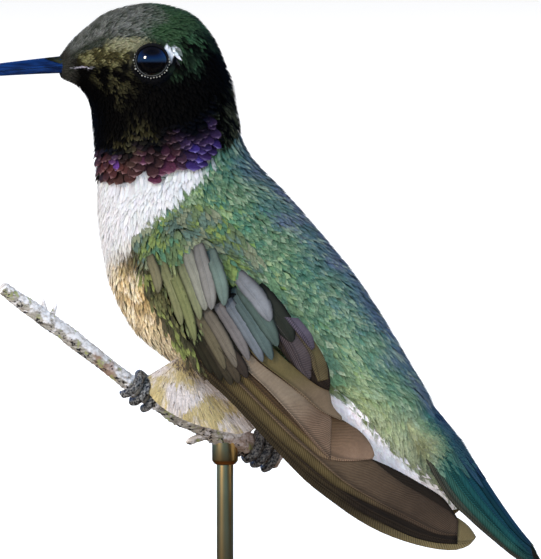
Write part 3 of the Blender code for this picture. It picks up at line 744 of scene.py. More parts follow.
SCALE = feather_pattern([(0, 0.12), (0.2, 0.34), (0.5, 0.50), (0.7, 0.52), (0.85, 0.44), (0.95, 0.28),
                         (1, 0.12)], 9, 13, 0.05, 0.09, 0.012, 0.35, 2, 6)
FINE = feather_pattern([(0, 0.08), (0.2, 0.22), (0.5, 0.34), (0.75, 0.32), (0.92, 0.20), (1, 0.06)],
                       3, 7, 0.16, 0.22, 0.020, 0.35, 6)
SOFT = feather_pattern([(0, 0.06), (0.2, 0.18), (0.5, 0.28), (0.75, 0.27), (0.92, 0.14), (1, 0.04)],
                       4, 13, 0.22, 0.26, 0.014, 0.25, 3)
DOWN = feather_pattern([(0, 0.05), (0.2, 0.14), (0.5, 0.20), (0.8, 0.14), (1, 0.03)],
                       3, 14, 0.36, 0.38, 0.014, 0.12, 4)
print("faces in a feather:", [len(p.sizes) for p in (SCALE, FINE, SOFT, DOWN)])

# %% [markdown]
# ## Laying feathers on the body
# A feather isn't put down flat: its middle line is walked over the surface in five short
# steps, each point is carried out to the side, and the whole is lifted a little more
# towards its tip, so that each row lies over the next one like tiles.


# %% Laying feathers
STEPS = 5


def lay(surface, pattern, row, column, length, width, heading, low, high, roll):
    """Points of copies of a pattern that start at rows and columns of a surface."""
    rows, columns, sides = [row], [column], []
    for k in range(STEPS):
        _, normal, down, _ = surface.read(rows[-1], columns[-1])
        lie = unit(down - normal * (down * normal).sum(-1, keepdims=True))
        over = np.cross(normal, lie)
        way = lie * np.cos(heading)[:, None] + over * np.sin(heading)[:, None]
        sides.append(np.cross(normal, way))
        if k < STEPS - 1:
            step = way * (length / (STEPS - 1))[:, None]
            r, c = surface.walk(rows[-1], columns[-1], step)
            rows.append(r)
            columns.append(c)
    rows, columns, sides = np.array(rows).T, np.array(columns).T, np.stack(sides, axis=1)
    across, along = pattern.places[:, 0], pattern.places[:, 1]
    k = np.minimum((along * (STEPS - 1)).astype(int), STEPS - 2)
    f = along * (STEPS - 1) - k
    r = rows[:, k] * (1 - f) + rows[:, k + 1] * f
    c = columns[:, k] * (1 - f) + columns[:, k + 1] * f
    side = sides[:, k] * (1 - f)[None, :, None] + sides[:, k + 1] * f[None, :, None]
    out = (across[None, :] * width[:, None])[..., None]
    r, c = surface.walk(r, c, side * out)
    points, normals, _, _ = surface.read(r, c)
    height = low[:, None] + (high - low)[:, None] * along[None, :] + roll[:, None] * out[..., 0]
    return points + normals * height[..., None]


def mesh_from_arrays(name, points, corners, sizes):
    """One mesh from arrays of points in millimetres and of face corners."""
    mesh = bpy.data.meshes.new(name)
    mesh.vertices.add(len(points))
    mesh.vertices.foreach_set("co", (points * MM).astype(np.float32).ravel())
    mesh.loops.add(len(corners))
    mesh.loops.foreach_set("vertex_index", corners.astype(np.int32))
    mesh.polygons.add(len(sizes))
    starts = np.concatenate([[0], np.cumsum(sizes)[:-1]])
    mesh.polygons.foreach_set("loop_start", starts.astype(np.int32))
    mesh.polygons.foreach_set("use_smooth", np.ones(len(sizes), bool))
    mesh.update(calc_edges=True)
    obj = bpy.data.objects.new(name, mesh)
    bpy.context.scene.collection.objects.link(obj)
    return obj


PATCH = 0.003


def bake_map(s, degrees):
    """Where on the bake map a feather goes whose root is at this section and angle."""
    return np.c_[degrees / 360, s / LAST] * 0.98 + 0.01


def feather_piece(name, pattern, points, tint, tip, gloss, root_map, tip_from=0.62, root_shade=0.45):
    """Many laid feathers as one object with its colours and both UV maps."""
    count, size = points.shape[:2]
    corners = (pattern.corners[None, :] + np.arange(count)[:, None] * size).ravel()
    obj = mesh_from_arrays(name, points.reshape(-1, 3), corners, np.tile(pattern.sizes, count))
    across, along = pattern.places[:, 0], pattern.places[:, 1]
    share = np.clip((along - tip_from) / (1 - tip_from), 0, 1) * 0.7 + 0.4 * pattern.fringe
    share = np.clip(share, 0, 1)[None, :, None]
    depth = np.clip(root_shade + (1 - root_shade) * along / 0.65, root_shade, 1.0)[None, :, None]
    mixed = (tint[:, None] * (1 - share) + tip[:, None] * share) * depth
    set_colours(obj.data, mixed.reshape(-1, 3), np.repeat(gloss, size))
    vane = obj.data.uv_layers.new(name="Vane")
    own = np.c_[across + 0.5, along][pattern.corners]
    vane.data.foreach_set("uv", np.tile(own, (count, 1)).astype(np.float32).ravel())
    bake = obj.data.uv_layers.new(name="OFBake")
    patch = (own - 0.5) * PATCH
    placed = root_map[:, None, :] + patch[None, :, :]
    bake.data.foreach_set("uv", placed.astype(np.float32).ravel())
    return obj


# %% [markdown]
# Roots are scattered so that no two are nearer than a spacing that depends on the place:
# a ninth of a millimetre at the bill, a quarter or more on back and rump. Each candidate is
# kept only if the cells of a coarse three-dimensional grid round it hold no closer root.


# %% Scattering roots
def crowded(boxes, cell, reach, place, gap_squared):
    """Whether a root kept in the boxes round this cell is nearer than the gap."""
    x, y, z = place
    for box in product(*(range(at - reach, at + reach + 1) for at in cell)):
        for u, v, w in boxes.get(box, ()):
            if (x - u) ** 2 + (y - v) ** 2 + (z - w) ** 2 < gap_squared:
                return True
    return False


def scatter(spacing, seed, tries=7.0):
    """Section numbers and degrees of evenly random places on the body."""
    draw = np.random.default_rng(seed)
    cells = body.tables[:-1, :-1]
    area = np.linalg.norm(np.cross(cells[..., 6:9], cells[..., 9:12]), axis=-1)
    s = (np.arange(area.shape[0]) / ROWS_PER_SECTION)[:, None] + np.zeros(area.shape)
    degrees = (np.arange(area.shape[1]) / BODY_COLUMNS * 360)[None, :] + np.zeros(area.shape)
    gap = spacing(s, degrees)
    weight = np.where(gap > 0, area / np.maximum(gap, 0.1) ** 2, 0).ravel()
    picked = draw.choice(len(weight), int(weight.sum() * tries), p=weight / weight.sum())
    s = s.ravel()[picked] + draw.random(len(picked)) / ROWS_PER_SECTION
    degrees = degrees.ravel()[picked] + draw.random(len(picked)) * 360 / BODY_COLUMNS
    places, _, _, _ = body.read(*on_body(s, radians(1) * degrees))
    gaps = gap.ravel()[picked]
    side, boxes, kept = 0.3, {}, []
    keys = np.floor(places / side).astype(int)
    reach = np.ceil(gaps / side).astype(int)
    for number in range(len(picked)):
        if not crowded(boxes, keys[number], reach[number], places[number], gaps[number] ** 2):
            boxes.setdefault(tuple(keys[number]), []).append(tuple(places[number]))
            kept.append(number)
    return s[kept], degrees[kept] % 360, places[kept], gaps[kept]


FEATHER_GAP = edge([(0, 0.115), (1, 0.13), (2.5, 0.15), (4.5, 0.17), (6.5, 0.19), (8.5, 0.215),
                    (10.5, 0.235), (14, 0.25), (18, 0.27), (21, 0.34)])


def body_spacing(s, degrees):
    p = from_back(degrees)
    gap = FEATHER_GAP(s)
    depth = THROAT_ENDS(p) - s
    scaly = (p > 45) & (depth > 0) & (s > 4.8)
    return np.where(scaly, np.clip(0.82 - 0.22 * depth, 0.27, 0.82), gap)


root_s, root_degrees, root_places, root_gaps = scatter(body_spacing, 5)
print("feathers on the body:", len(root_s))

# %% [markdown]
# ## The coat
# The roots are sorted into the bird's feather tracts, and each tract is one piece with its
# own kind of feather: small scales on crown, face and throat, soft fringed feathers on back
# and belly, and long pale ones on the collar and under the tail. Feathers in front of the
# eye are cut short so that they frame it.

# %% The feather finish
def coat_finish(name, contrast, rough, **constants):
    """Combed barbs and speckles over the colours that the feathers carry."""
    made, shader, wire = finish(name, Roughness=rough, **constants)
    colour = wire.carried("Tint")
    gloss = wire.carried("Gloss", 2)
    across, along, _ = wire.add("ShaderNodeUVMap", {"uv_map": "Vane"}).parts()
    from_shaft = abs(across - 0.5)
    slant = along * 70.0 - from_shaft * 50.0
    barb = slant.maths("SINE", slant)
    where = wire.place()
    fuzz = where.noise(5200.0, 2.0)
    brightness = 1.0 - 0.5 * contrast + contrast * (fuzz + 0.10 * barb)
    feed(colour.tinted(brightness), shader, "Base Color")
    feed(gloss * 0.35, shader, "Metallic")
    feed(rough - 0.30 * gloss + 0.1 * (fuzz - 0.5), shader, "Roughness")
    feed(bump(wire, barb * 0.4 + fuzz, 0.35, 0.00003), shader, "Normal")
    return made


plumage = coat_finish("plumage", 1.05, 0.72, Specular_IOR_Level=0.2, Sheen_Weight=0.05)
dark_plumage = coat_finish("dark_plumage", 1.0, 0.75, Specular_IOR_Level=0.03)
scaly_plumage = coat_finish("scaly_plumage", 1.1, 0.6, Specular_IOR_Level=0.1)
# The white feathers glow a little: painted light that lifts the shade between them.
white_plumage = coat_finish("white_plumage", 0.22, 0.85, Specular_IOR_Level=0.1, Emission_Strength=0.13)
downy = coat_finish("downy_tuft", 0.5, 0.85, Specular_IOR_Level=0.1)

# %% Tracts
draw = np.random.default_rng(21)
p = from_back(root_degrees)
ends = THROAT_ENDS(p)
count = len(root_s)
length = root_gaps * 3.3
width = root_gaps * 1.9
tracts = np.full(count, "back", dtype=object)
tracts[(p > 104) & (root_s > 11.4)] = "belly"
tracts[(root_s > 15.8) & (p > WHITE_STARTS(root_s))] = "undertail"
tracts[(root_s > 15.0) & (tracts == "back")] = "rump"
tracts[(root_s > ends) & (root_s < COLLAR_ENDS(p)) & (p > 43)] = "collar"
on_head = root_s <= ends
tracts[on_head] = "cheek"
tracts[on_head & (p < 62)] = "crown"
tracts[on_head & (root_s < 2.0)] = "face"
tracts[on_head & (p > 45) & (root_s > 5.0) & (ends - root_s < 2.4)] = "gorget"

look = {  # pattern, finish, length and width factors, how proud the tips stand, spread, root shade
    "back": (SOFT, plumage, 1.9, 1.5, 0.05, 0.24, 0.8),
    "rump": (SOFT, plumage, 2.5, 1.4, 0.05, 0.15, 0.8),
    "belly": (SOFT, plumage, 1.6, 1.4, 0.05, 0.28, 0.94),
    "undertail": (SOFT, white_plumage, 2.0, 1.4, 0.05, 0.15, 0.96),
    "collar": (SOFT, white_plumage, 2.2, 1.45, 0.04, 0.12, 0.97),
    "cheek": (FINE, dark_plumage, 1.2, 1.1, 0.03, 0.18, 0.7),
    "crown": (FINE, dark_plumage, 1.3, 1.1, 0.03, 0.18, 0.7),
    "face": (FINE, dark_plumage, 1.2, 1.0, 0.02, 0.14, 0.7),
    "gorget": (SCALE, scaly_plumage, 0.62, 1.0, 0.12, 0.10, 0.35)}
MOST_TRIANGLES = 180_000

eye_gap = np.min([np.linalg.norm(root_places - c, axis=1) for c in eye_middle.values()], axis=0)
eye_free = eye_gap > EYE_RADIUS + 0.22
tint, tip, gloss = markings(root_s, root_degrees, root_places)
tint = tint * draw.uniform(0.84, 1.16, (count, 1)) * draw.uniform(0.95, 1.05, (count, 3))
tip = tip * draw.uniform(0.85, 1.15, (count, 1))
coat_depth = COAT_DEPTH(root_s)
nape = np.exp(-((root_s - 7.5) / 0.55) ** 2) * np.clip((56 - p) / 20, 0, 1)
rows, columns = on_body(root_s, radians(1) * root_degrees)
root_map = bake_map(root_s, root_degrees)


def lay_tract(name, tract, mine):
    """One coat piece: the feathers of a tract whose roots are listed in mine."""
    pattern, tract_finish, long, wide, proud, stray, shade = look[tract]
    size = len(mine)
    own_length = length[mine] * long * draw.uniform(0.85, 1.2, size)
    near_eye = eye_gap[mine] - (EYE_RADIUS + 0.1)
    ahead = root_places[mine][:, 0] < eye_middle["left"][0] + 0.6
    own_length = np.where(ahead & (near_eye < own_length), np.clip(near_eye, 0.3, None), own_length)
    if tract == "gorget":
        own_length = own_length * np.clip(0.62 + 0.9 * (ends[mine] - root_s[mine]), 0.62, 1)
    laid = lay(body, pattern, rows[mine], columns[mine], own_length,
               width[mine] * wide * draw.uniform(0.85, 1.2, size),
               draw.normal(0, stray, size), -0.8 * coat_depth[mine],
               proud * draw.uniform(0.4, 1.5, size) + 0.02 + 0.38 * nape[mine] * draw.uniform(0.5, 1.1, size),
               draw.normal(0, 0.06, size))
    piece = feather_piece(name, pattern, laid, tint[mine], tip[mine], gloss[mine], root_map[mine],
                          0.62 if tract != "gorget" else 0.80, shade)
    shown(piece, tract_finish)


for tract, (pattern, *_) in look.items():
    for side, on_side in (("left", root_degrees < 180), ("right", root_degrees >= 180)):
        whole = np.flatnonzero((tracts == tract) & eye_free & on_side)
        whole = whole[np.argsort(root_s[whole], kind="stable")]
        shares = int(np.ceil(len(whole) * (pattern.sizes - 2).sum() / MOST_TRIANGLES))
        for number, mine in enumerate(np.array_split(whole, shares)):
            ending = f"_{number + 1}" if shares > 1 else ""
            lay_tract(f"coat_{tract}_{side}{ending}", tract, mine)

# %% [markdown]
# ## Long feathers one by one
# Wing and tail feathers are few and large, so each gets a shape of its own: a middle line
# over the folded wing, a narrow outer vane, a wide inner vane, a raised shaft and a tip. All
# blades of one group are made as rows of points from one function, joined, and given a real
# thickness with a Solidify modifier.


# %% Blades
BLADE_ROWS = 32
BLADE_COLUMNS = np.array([-1, -0.86, -0.6, -0.3, -0.06, 0, 0.05, 0.2, 0.4, 0.6, 0.8, 0.92, 1.0])


def along_line(points):
    return np.concatenate([[0], np.cumsum(np.linalg.norm(np.diff(points, axis=0), axis=1))])


def blade(surface, middle, outer, inner, lift, tuck=0.10, tip_from=0.86, tip_power=2.0,
          root_width=0.55, sink=0.0, seed=0):
    """Points, and millimetres across and along, of one feather over a surface.

    middle gives rows and columns of the surface for shares 0 to 1 of the feather's length."""
    share = np.linspace(0, 1, BLADE_ROWS) ** 0.85
    row, column = middle(share)
    points, normals, _, _ = surface.read(row, column)
    way = unit(np.gradient(points, axis=0))
    side = unit(np.cross(normals, way))
    end = np.clip((share - tip_from) / (1 - tip_from), 0, 1)
    body_width = root_width + (1 - root_width) * np.clip(share / 0.3, 0, 1) ** 0.7
    profile = body_width * np.maximum(1 - end**tip_power, 0.0) ** 0.5
    ragged = 1 - 0.05 * np.abs(np.random.default_rng(seed).normal(size=BLADE_ROWS)) * (share > 0.1)
    reach = np.where(BLADE_COLUMNS < 0, outer, inner)[None, :] * BLADE_COLUMNS[None, :] \
        * profile[:, None] * np.where(np.abs(BLADE_COLUMNS) > 0.9, ragged[:, None], 1)
    total = outer + inner
    height = lift - tuck * np.clip(reach / total, 0, 1) - 0.35 * tuck * np.clip(-reach / outer, 0, 1) ** 2
    height += 0.05 * (BLADE_COLUMNS == 0)[None, :] * (1 - 0.6 * share)[:, None]
    height -= sink * np.clip(1 - share / 0.2, 0, 1)[:, None]
    step = side[:, None, :] * reach[..., None]
    rows, columns = surface.walk(np.repeat(row[:, None], len(BLADE_COLUMNS), 1),
                                 np.repeat(column[:, None], len(BLADE_COLUMNS), 1), step)
    laid, ups, _, _ = surface.read(rows, columns)
    return laid + ups * height[..., None], reach, along_line(points)[:, None] + 0 * reach


def blades_piece(name, blades, colours, thick, flip=None):
    """Blades joined into one object. colours gives tint and gloss for each blade."""
    columns = len(BLADE_COLUMNS)
    quads = np.array([(i * columns + j, i * columns + j + 1, (i + 1) * columns + j + 1,
                       (i + 1) * columns + j)
                      for i in range(BLADE_ROWS - 1) for j in range(columns - 1)])
    size = BLADE_ROWS * columns
    points = np.concatenate([b[0].reshape(-1, 3) for b in blades])
    corners = np.concatenate([quads + size * k for k in range(len(blades))])
    if flip is None:
        corners = corners[:, ::-1]
    else:
        points = mirrored(points, flip)
    obj = mesh_from_arrays(name, points, corners.ravel(), np.full(len(corners), 4))
    tints = np.concatenate([c[0].reshape(-1, 3) for c in colours])
    shine = np.concatenate([c[1].reshape(-1) for c in colours])
    set_colours(obj.data, tints, shine)
    own = np.concatenate([np.c_[b[1].ravel() / 10 + 0.5, b[2].ravel() / 50] for b in blades])
    flat = corners.ravel()
    vane = obj.data.uv_layers.new(name="Vane")
    vane.data.foreach_set("uv", own[flat].astype(np.float32).ravel())
    bake = obj.data.uv_layers.new(name="OFBake")
    across = np.tile(np.linspace(0.06, 0.94, columns), BLADE_ROWS * len(blades))
    down = np.tile(np.repeat(np.linspace(0.02, 0.98, BLADE_ROWS), columns), len(blades))
    cell = np.repeat(np.arange(len(blades)), size)
    cells = np.c_[(cell + across) / len(blades), down]
    bake.data.foreach_set("uv", cells[flat].astype(np.float32).ravel())
    bpy.ops.object.select_all(action="DESELECT")
    obj.select_set(True)
    bpy.context.view_layer.objects.active = obj
    wall = obj.modifiers.new("Thickness", "SOLIDIFY")
    wall.thickness, wall.offset = thick * MM, -1
    bpy.ops.object.modifier_apply(modifier=wall.name)
    return obj


# %% [markdown]
# ## The folded wings
# A folded wing is nearly a stiff sheet, so a smooth cubic sheet is fitted through the near
# faces of the two packed wing plates. Everything of the wing is laid on that sheet.

# %% The wing sheet
WING_LEFT, WING_RIGHT, WING_TOP, WING_LOW, WING_STEP = -12.0, 30.0, 50.0, 9.0, 0.5


def near_face(names, places):
    """The y of the nearest surface of these nodes at each x and z, or nan."""
    found = np.full(len(places), np.nan)
    for name in names:
        mesh = nodes[name].data
        tree = BVHTree.FromPolygons([v.co / MM for v in mesh.vertices],
                                    [tuple(f.vertices) for f in mesh.polygons])
        for k, (x, z) in enumerate(places):
            hit = tree.ray_cast(Vector((x, -60, z)), Vector((0, 1, 0)))[0]
            if hit is not None and not found[k] < hit.y:
                found[k] = hit.y
    return found


def cubic_terms(x, z):
    x, z = x / 20, (z - 30) / 20
    return np.stack([x**a * z**b for a in range(4) for b in range(4 - a)], axis=-1)


spots = np.array([(x, z) for x in np.arange(-8, 25, 0.6) for z in np.arange(14, 46, 0.6)])
depths = near_face(["wing_left_coverts", "wing_left_flight"], spots)
hits = ~np.isnan(depths)
fit, *_ = np.linalg.lstsq(cubic_terms(*spots[hits].T), depths[hits], rcond=None)
wing_x = np.arange(WING_LEFT, WING_RIGHT, WING_STEP)
wing_z = np.arange(WING_TOP, WING_LOW, -WING_STEP)
grid_x, grid_z = np.meshgrid(wing_x, wing_z, indexing="ij")
wing = Surface(np.stack([grid_x, cubic_terms(grid_x, grid_z) @ fit, grid_z], axis=-1), False)
print("wing sheet fits the plates within, mm:",
      round(float(np.abs(cubic_terms(*spots[hits].T) @ fit - depths[hits]).max()), 2))


def on_wing(x, z):
    return (np.asarray(x) - WING_LEFT) / WING_STEP, (WING_TOP - np.asarray(z)) / WING_STEP


# %% [markdown]
# In the folded wing the outermost primary lies lowest and runs along the leading edge to the
# wing's tip. Each inner feather lies over it, a little shorter, so that its squared end
# steps back. What shows of a feather depends on where its two edges run, so each is given by
# an outer and an inner edge on the wing sheet, and the rest of its grid lies between them.

# %% Flight feathers
# each side, and the turn of the plane that the right one is mirrored across
BOTH_SIDES = (("left", None), ("right", TRUNK_TURN))
# outer edge, inner edge, place of the shaft at root and tip, tints of the outer vane, the
# inner vane and the end, share of the length from which the end's tint takes over
FLIGHT = [
    # Outermost primary
    ([(-4.7, 34.9), (-3.5, 33.1), (-1.9, 31.1), (0.5, 28.9), (3.2, 26.0), (5.8, 23.2), (7.9, 21.1),
      (10.1, 19.4), (12.5, 17.7), (14.9, 16.4), (17.3, 15.5), (19.7, 14.9), (21.8, 14.7),
      (23.2, 15.1), (23.9, 15.8)],
     [(-3.8, 34.9), (-1.0, 32.8), (1.9, 30.4), (4.8, 27.7), (7.2, 25.4), (9.6, 23.4), (12.0, 21.4),
      (14.4, 20.2), (16.8, 19.2), (19.2, 18.5), (21.4, 18.2), (22.4, 17.7), (23.2, 17.1),
      (23.7, 16.5), (24.0, 16.0)],
     (0.16, 0.3), (50, 40, 24), (52, 42, 28), (104, 90, 60), 0.66),
    # The next, dark to its inner edge
    ([(-4.3, 33.5), (-1.9, 31.6), (0.7, 29.1), (3.6, 26.2), (6.2, 23.6), (8.4, 21.6), (10.6, 20.0),
      (13.0, 18.3), (15.4, 17.1), (17.8, 16.0), (20.2, 15.4), (22.2, 15.3)],
     [(-1.0, 34.2), (1.9, 31.8), (4.8, 29.4), (7.7, 27.2), (10.6, 25.3), (12.5, 24.1), (14.3, 23.3),
      (16.3, 22.4), (18.8, 21.0), (20.3, 20.1), (21.2, 19.3), (22.2, 17.8)],
     (0.12, 0.10), (62, 50, 30), (46, 36, 26), (38, 29, 20), 0.45),
    # The longest inner vane
    ([(-2.4, 32.8), (0.3, 30.1), (2.6, 27.7), (5.3, 25.0), (7.2, 23.5), (10.1, 21.1), (12.0, 20.0),
      (14.9, 18.6), (17.3, 17.5), (19.7, 16.4), (21.0, 16.1), (22.2, 16.1)],
     [(1.0, 33.7), (3.6, 31.6), (6.2, 29.6), (8.9, 27.5), (11.5, 25.4), (13.2, 24.1), (14.6, 22.9),
      (16.8, 21.2), (19.2, 19.8), (20.7, 18.9), (21.6, 18.3), (22.3, 17.5)],
     (0.36, 0.04), (84, 70, 42), (88, 71, 54), (64, 50, 38), 0.55),
    ([(-0.7, 33.5), (1.7, 30.7), (3.8, 28.5), (5.8, 26.6), (7.7, 24.8), (9.3, 23.5), (11.5, 23.2),
      (14.1, 23.4)],
     [(1.9, 34.2), (4.3, 32.0), (6.7, 30.1), (8.9, 28.5), (11.2, 27.2), (13.0, 26.0), (14.0, 24.7),
      (14.3, 23.8)],
     (0.30, 0.06), (94, 78, 46), (76, 57, 37), (130, 104, 84), 0.62),
    ([(0.0, 34.2), (2.1, 31.8), (3.6, 30.4), (5.3, 28.6), (7.2, 26.5), (8.9, 24.5), (10.1, 23.3)],
     [(2.9, 34.5), (4.5, 32.6), (6.1, 31.0), (7.6, 29.7), (8.9, 28.5), (10.1, 27.6), (10.2, 26.5)],
     (0.08, 0.05), (52, 38, 24), (124, 108, 90), (102, 82, 66), 0.5),
    ([(1.4, 34.7), (3.2, 32.8), (5.3, 31.2), (7.2, 29.7), (9.1, 28.1), (11.2, 27.1)],
     [(4.1, 34.7), (5.8, 33.0), (7.7, 31.6), (9.8, 30.2), (10.3, 28.6), (11.2, 27.5)],
     (0.10, 0.06), (52, 38, 24), (98, 86, 54), (112, 94, 74), 0.4),
    # Innermost feathers: an olive and two violet-brown ones over a dark one, which is painted shade between
    # them and the coverts
    ([(3.6, 36.1), (4.8, 34.7), (6.2, 32.8), (7.7, 31.4), (8.9, 30.5), (10.0, 30.0)],
     [(5.8, 36.4), (7.0, 35.3), (8.4, 34.1), (9.3, 33.4), (9.9, 32.2), (10.1, 30.9)],
     (0.3, 0.3), (48, 38, 30), (40, 30, 24), (36, 26, 18), 0.5),
    ([(6.2, 36.1), (7.2, 34.9), (8.1, 33.5), (8.4, 32.2), (8.9, 30.9)],
     [(7.8, 35.9), (8.8, 34.4), (9.4, 33.4), (9.8, 32.3), (9.9, 31.1)],
     (0.3, 0.2), (74, 64, 50), (88, 78, 50), (84, 72, 48), 0.5),
    ([(4.1, 36.4), (5.3, 34.9), (6.1, 33.5), (6.9, 32.2), (8.1, 31.1)],
     [(6.1, 36.6), (7.2, 35.3), (8.1, 34.0), (8.3, 32.8), (8.3, 31.4)],
     (0.4, 0.3), (68, 58, 58), (76, 66, 66), (70, 60, 60), 0.5),
    ([(5.7, 37.1), (6.5, 36.1), (7.4, 35.0), (8.3, 33.9)],
     [(7.0, 37.0), (7.8, 36.1), (8.4, 35.2), (8.6, 34.2)],
     (0.4, 0.3), (78, 70, 80), (84, 76, 86), (72, 64, 72), 0.5)]
LAYER = 0.055


def edged_blade(outer, inner, shaft, lift, tuck=0.12):
    """A feather between two edges on the wing sheet, in the same terms as blade gives."""
    share = np.linspace(0, 1, BLADE_ROWS)
    outer = through(outer, share * (len(outer) - 1))
    inner = through(inner, share * (len(inner) - 1))
    at = (shaft[0] + (shaft[1] - shaft[0]) * share)[:, None]
    across = np.where(BLADE_COLUMNS < 0, at * (1 + BLADE_COLUMNS), at + (1 - at) * BLADE_COLUMNS)
    flat = outer[:, None, :] * (1 - across[..., None]) + inner[:, None, :] * across[..., None]
    points, normals, _, _ = wing.read(*on_wing(flat[..., 0], flat[..., 1]))
    height = lift - tuck * np.clip(BLADE_COLUMNS, 0, 1) - 0.03 * np.clip(-BLADE_COLUMNS, 0, 1) ** 2
    height = height + 0.05 * (BLADE_COLUMNS == 0) * (1 - 0.6 * share[:, None])
    width = np.linalg.norm(inner - outer, axis=1)[:, None]
    line = along_line(points[:, 5])
    return points + normals * height[..., None], (across - at) * width, line[:, None] + 0 * across


def bowed(start, end, bow):
    """A middle line from start to end that bows sideways by bow millimetres."""
    start, end = np.array(start), np.array(end)
    across = np.array([end[1] - start[1], start[0] - end[0]]) / np.linalg.norm(end - start)

    def middle(share):
        spot = start + (end - start) * share[:, None] + across * (bow * 4 * share * (1 - share))[:, None]
        return on_wing(spot[:, 0], spot[:, 1])
    return middle


def vane_colours(piece, outer, inner, end, gloss, seed, outer_edge_shade_and_tone=0.4, inner_edge_shade=0.6, end_from=0.7,
                 shaft=(1.35, 0.55), root=1.0):
    """A tint for each point of a blade: two vanes, the shaft's line, painted shade along the edges and
    towards the root, and the end.
    """
    _, reach, along = piece
    share = along / along.max()
    tint = np.where(BLADE_COLUMNS[None, :, None] < 0, np.array(rgb(*outer)), np.array(rgb(*inner)))
    late = np.clip((share - end_from) / 0.25, 0, 1)[..., None]
    tint = tint * (1 - late) + np.array(rgb(*end)) * late
    side = BLADE_COLUMNS[None, :]
    # Painted shade along the edges, where the neighbouring feathers lie over them; an outer factor above 1
    # makes that edge paler instead.
    shade = 1 - (1 - outer_edge_shade_and_tone) * np.clip((-side - 0.55) / 0.4, 0, 1)
    shade = shade * (1 - (1 - inner_edge_shade) * np.clip((side - 0.55) / 0.4, 0, 1))
    shade = shade * np.where(side == 0, shaft[0], np.where(np.abs(side) < 0.1, shaft[1], 1))
    # Painted shade towards the root, where the feathers above lie over it.
    shade = shade * (root + (1 - root) * np.clip(share / 0.45, 0, 1))
    shade = shade * np.random.default_rng(seed).uniform(0.94, 1.06) + 0 * share
    return tint * shade[..., None], np.full(reach.shape, gloss)


flight_blades, flight_colours = [], []
for k, (outer, inner, shaft, outer_tint, inner_tint, end_tint, end_from) in enumerate(FLIGHT):
    made = edged_blade(outer, inner, shaft, 0.02 + LAYER * k)
    flight_blades.append(made)
    # Painted shade along both edges; the outermost feather's outer edge is made paler instead.
    flight_colours.append(vane_colours(made, outer_tint, inner_tint, end_tint, 0.08, 60 + k,
                                       1.15 if k == 0 else 0.45, 0.8, end_from))

# %% [markdown]
# The vanes of these feathers are combed: fine parallel barbs leave the shaft at a slant, one
# every fifth of a millimetre where they show, and they darken and shine in turn. The finish
# reads the feather's own map, in which across and along are true millimetres.


# %% The vane finish
def vane_finish(name, contrast, pitch, slant, shine):
    made, shader, wire = finish(name, Roughness=0.6, Specular_IOR_Level=0.12)
    colour = wire.carried("Tint")
    gloss = wire.carried("Gloss", 2)
    across, along, _ = wire.add("ShaderNodeUVMap", {"uv_map": "Vane"}).parts()
    across, along = across * 10 - 5, along * 50
    where = wire.place()
    waver = where.noise(500.0, 2.0)
    phase = (along - abs(across) * slant + waver * 0.5) * (2 * pi / pitch)
    barb = phase.maths("SINE", phase)
    fuzz = where.noise(5000.0, 2.0)
    broad = where.noise(700.0, 2.0)
    light = (0.72 + contrast * barb + 0.3 * fuzz) * (0.75 + 0.5 * broad)
    feed(colour.tinted(light), shader, "Base Color")
    feed(gloss * shine, shader, "Metallic")
    feed(0.62 - 0.25 * gloss + 0.1 * fuzz, shader, "Roughness")
    feed(bump(wire, barb * 0.6 + fuzz * 0.6, 0.5, 0.00004), shader, "Normal")
    return made


flight_finish = vane_finish("flight_vanes", 0.30, 0.22, 0.9, 0.2)
# The far wing's tip is tucked in, from this height down, so that it stays behind the near one
FAR_WING_SHIFT, SHIFT_STARTS, SHIFT_GROWS = (-2.6, 0.8, 2.4), 0.034, 0.020
for side, flip in BOTH_SIDES:
    flight = blades_piece(f"flight_feathers_{side}", flight_blades, flight_colours, 0.04, flip)
    if flip is not None:
        spots = np.array([v.co for v in flight.data.vertices])
        spots += np.clip((SHIFT_STARTS - spots[:, 2:]) / SHIFT_GROWS, 0, 1) * np.array(FAR_WING_SHIFT) * MM
        flight.data.vertices.foreach_set("co", spots.astype(np.float32).ravel())
    shown(flight, flight_finish, (f"wing_{side}_flight",))
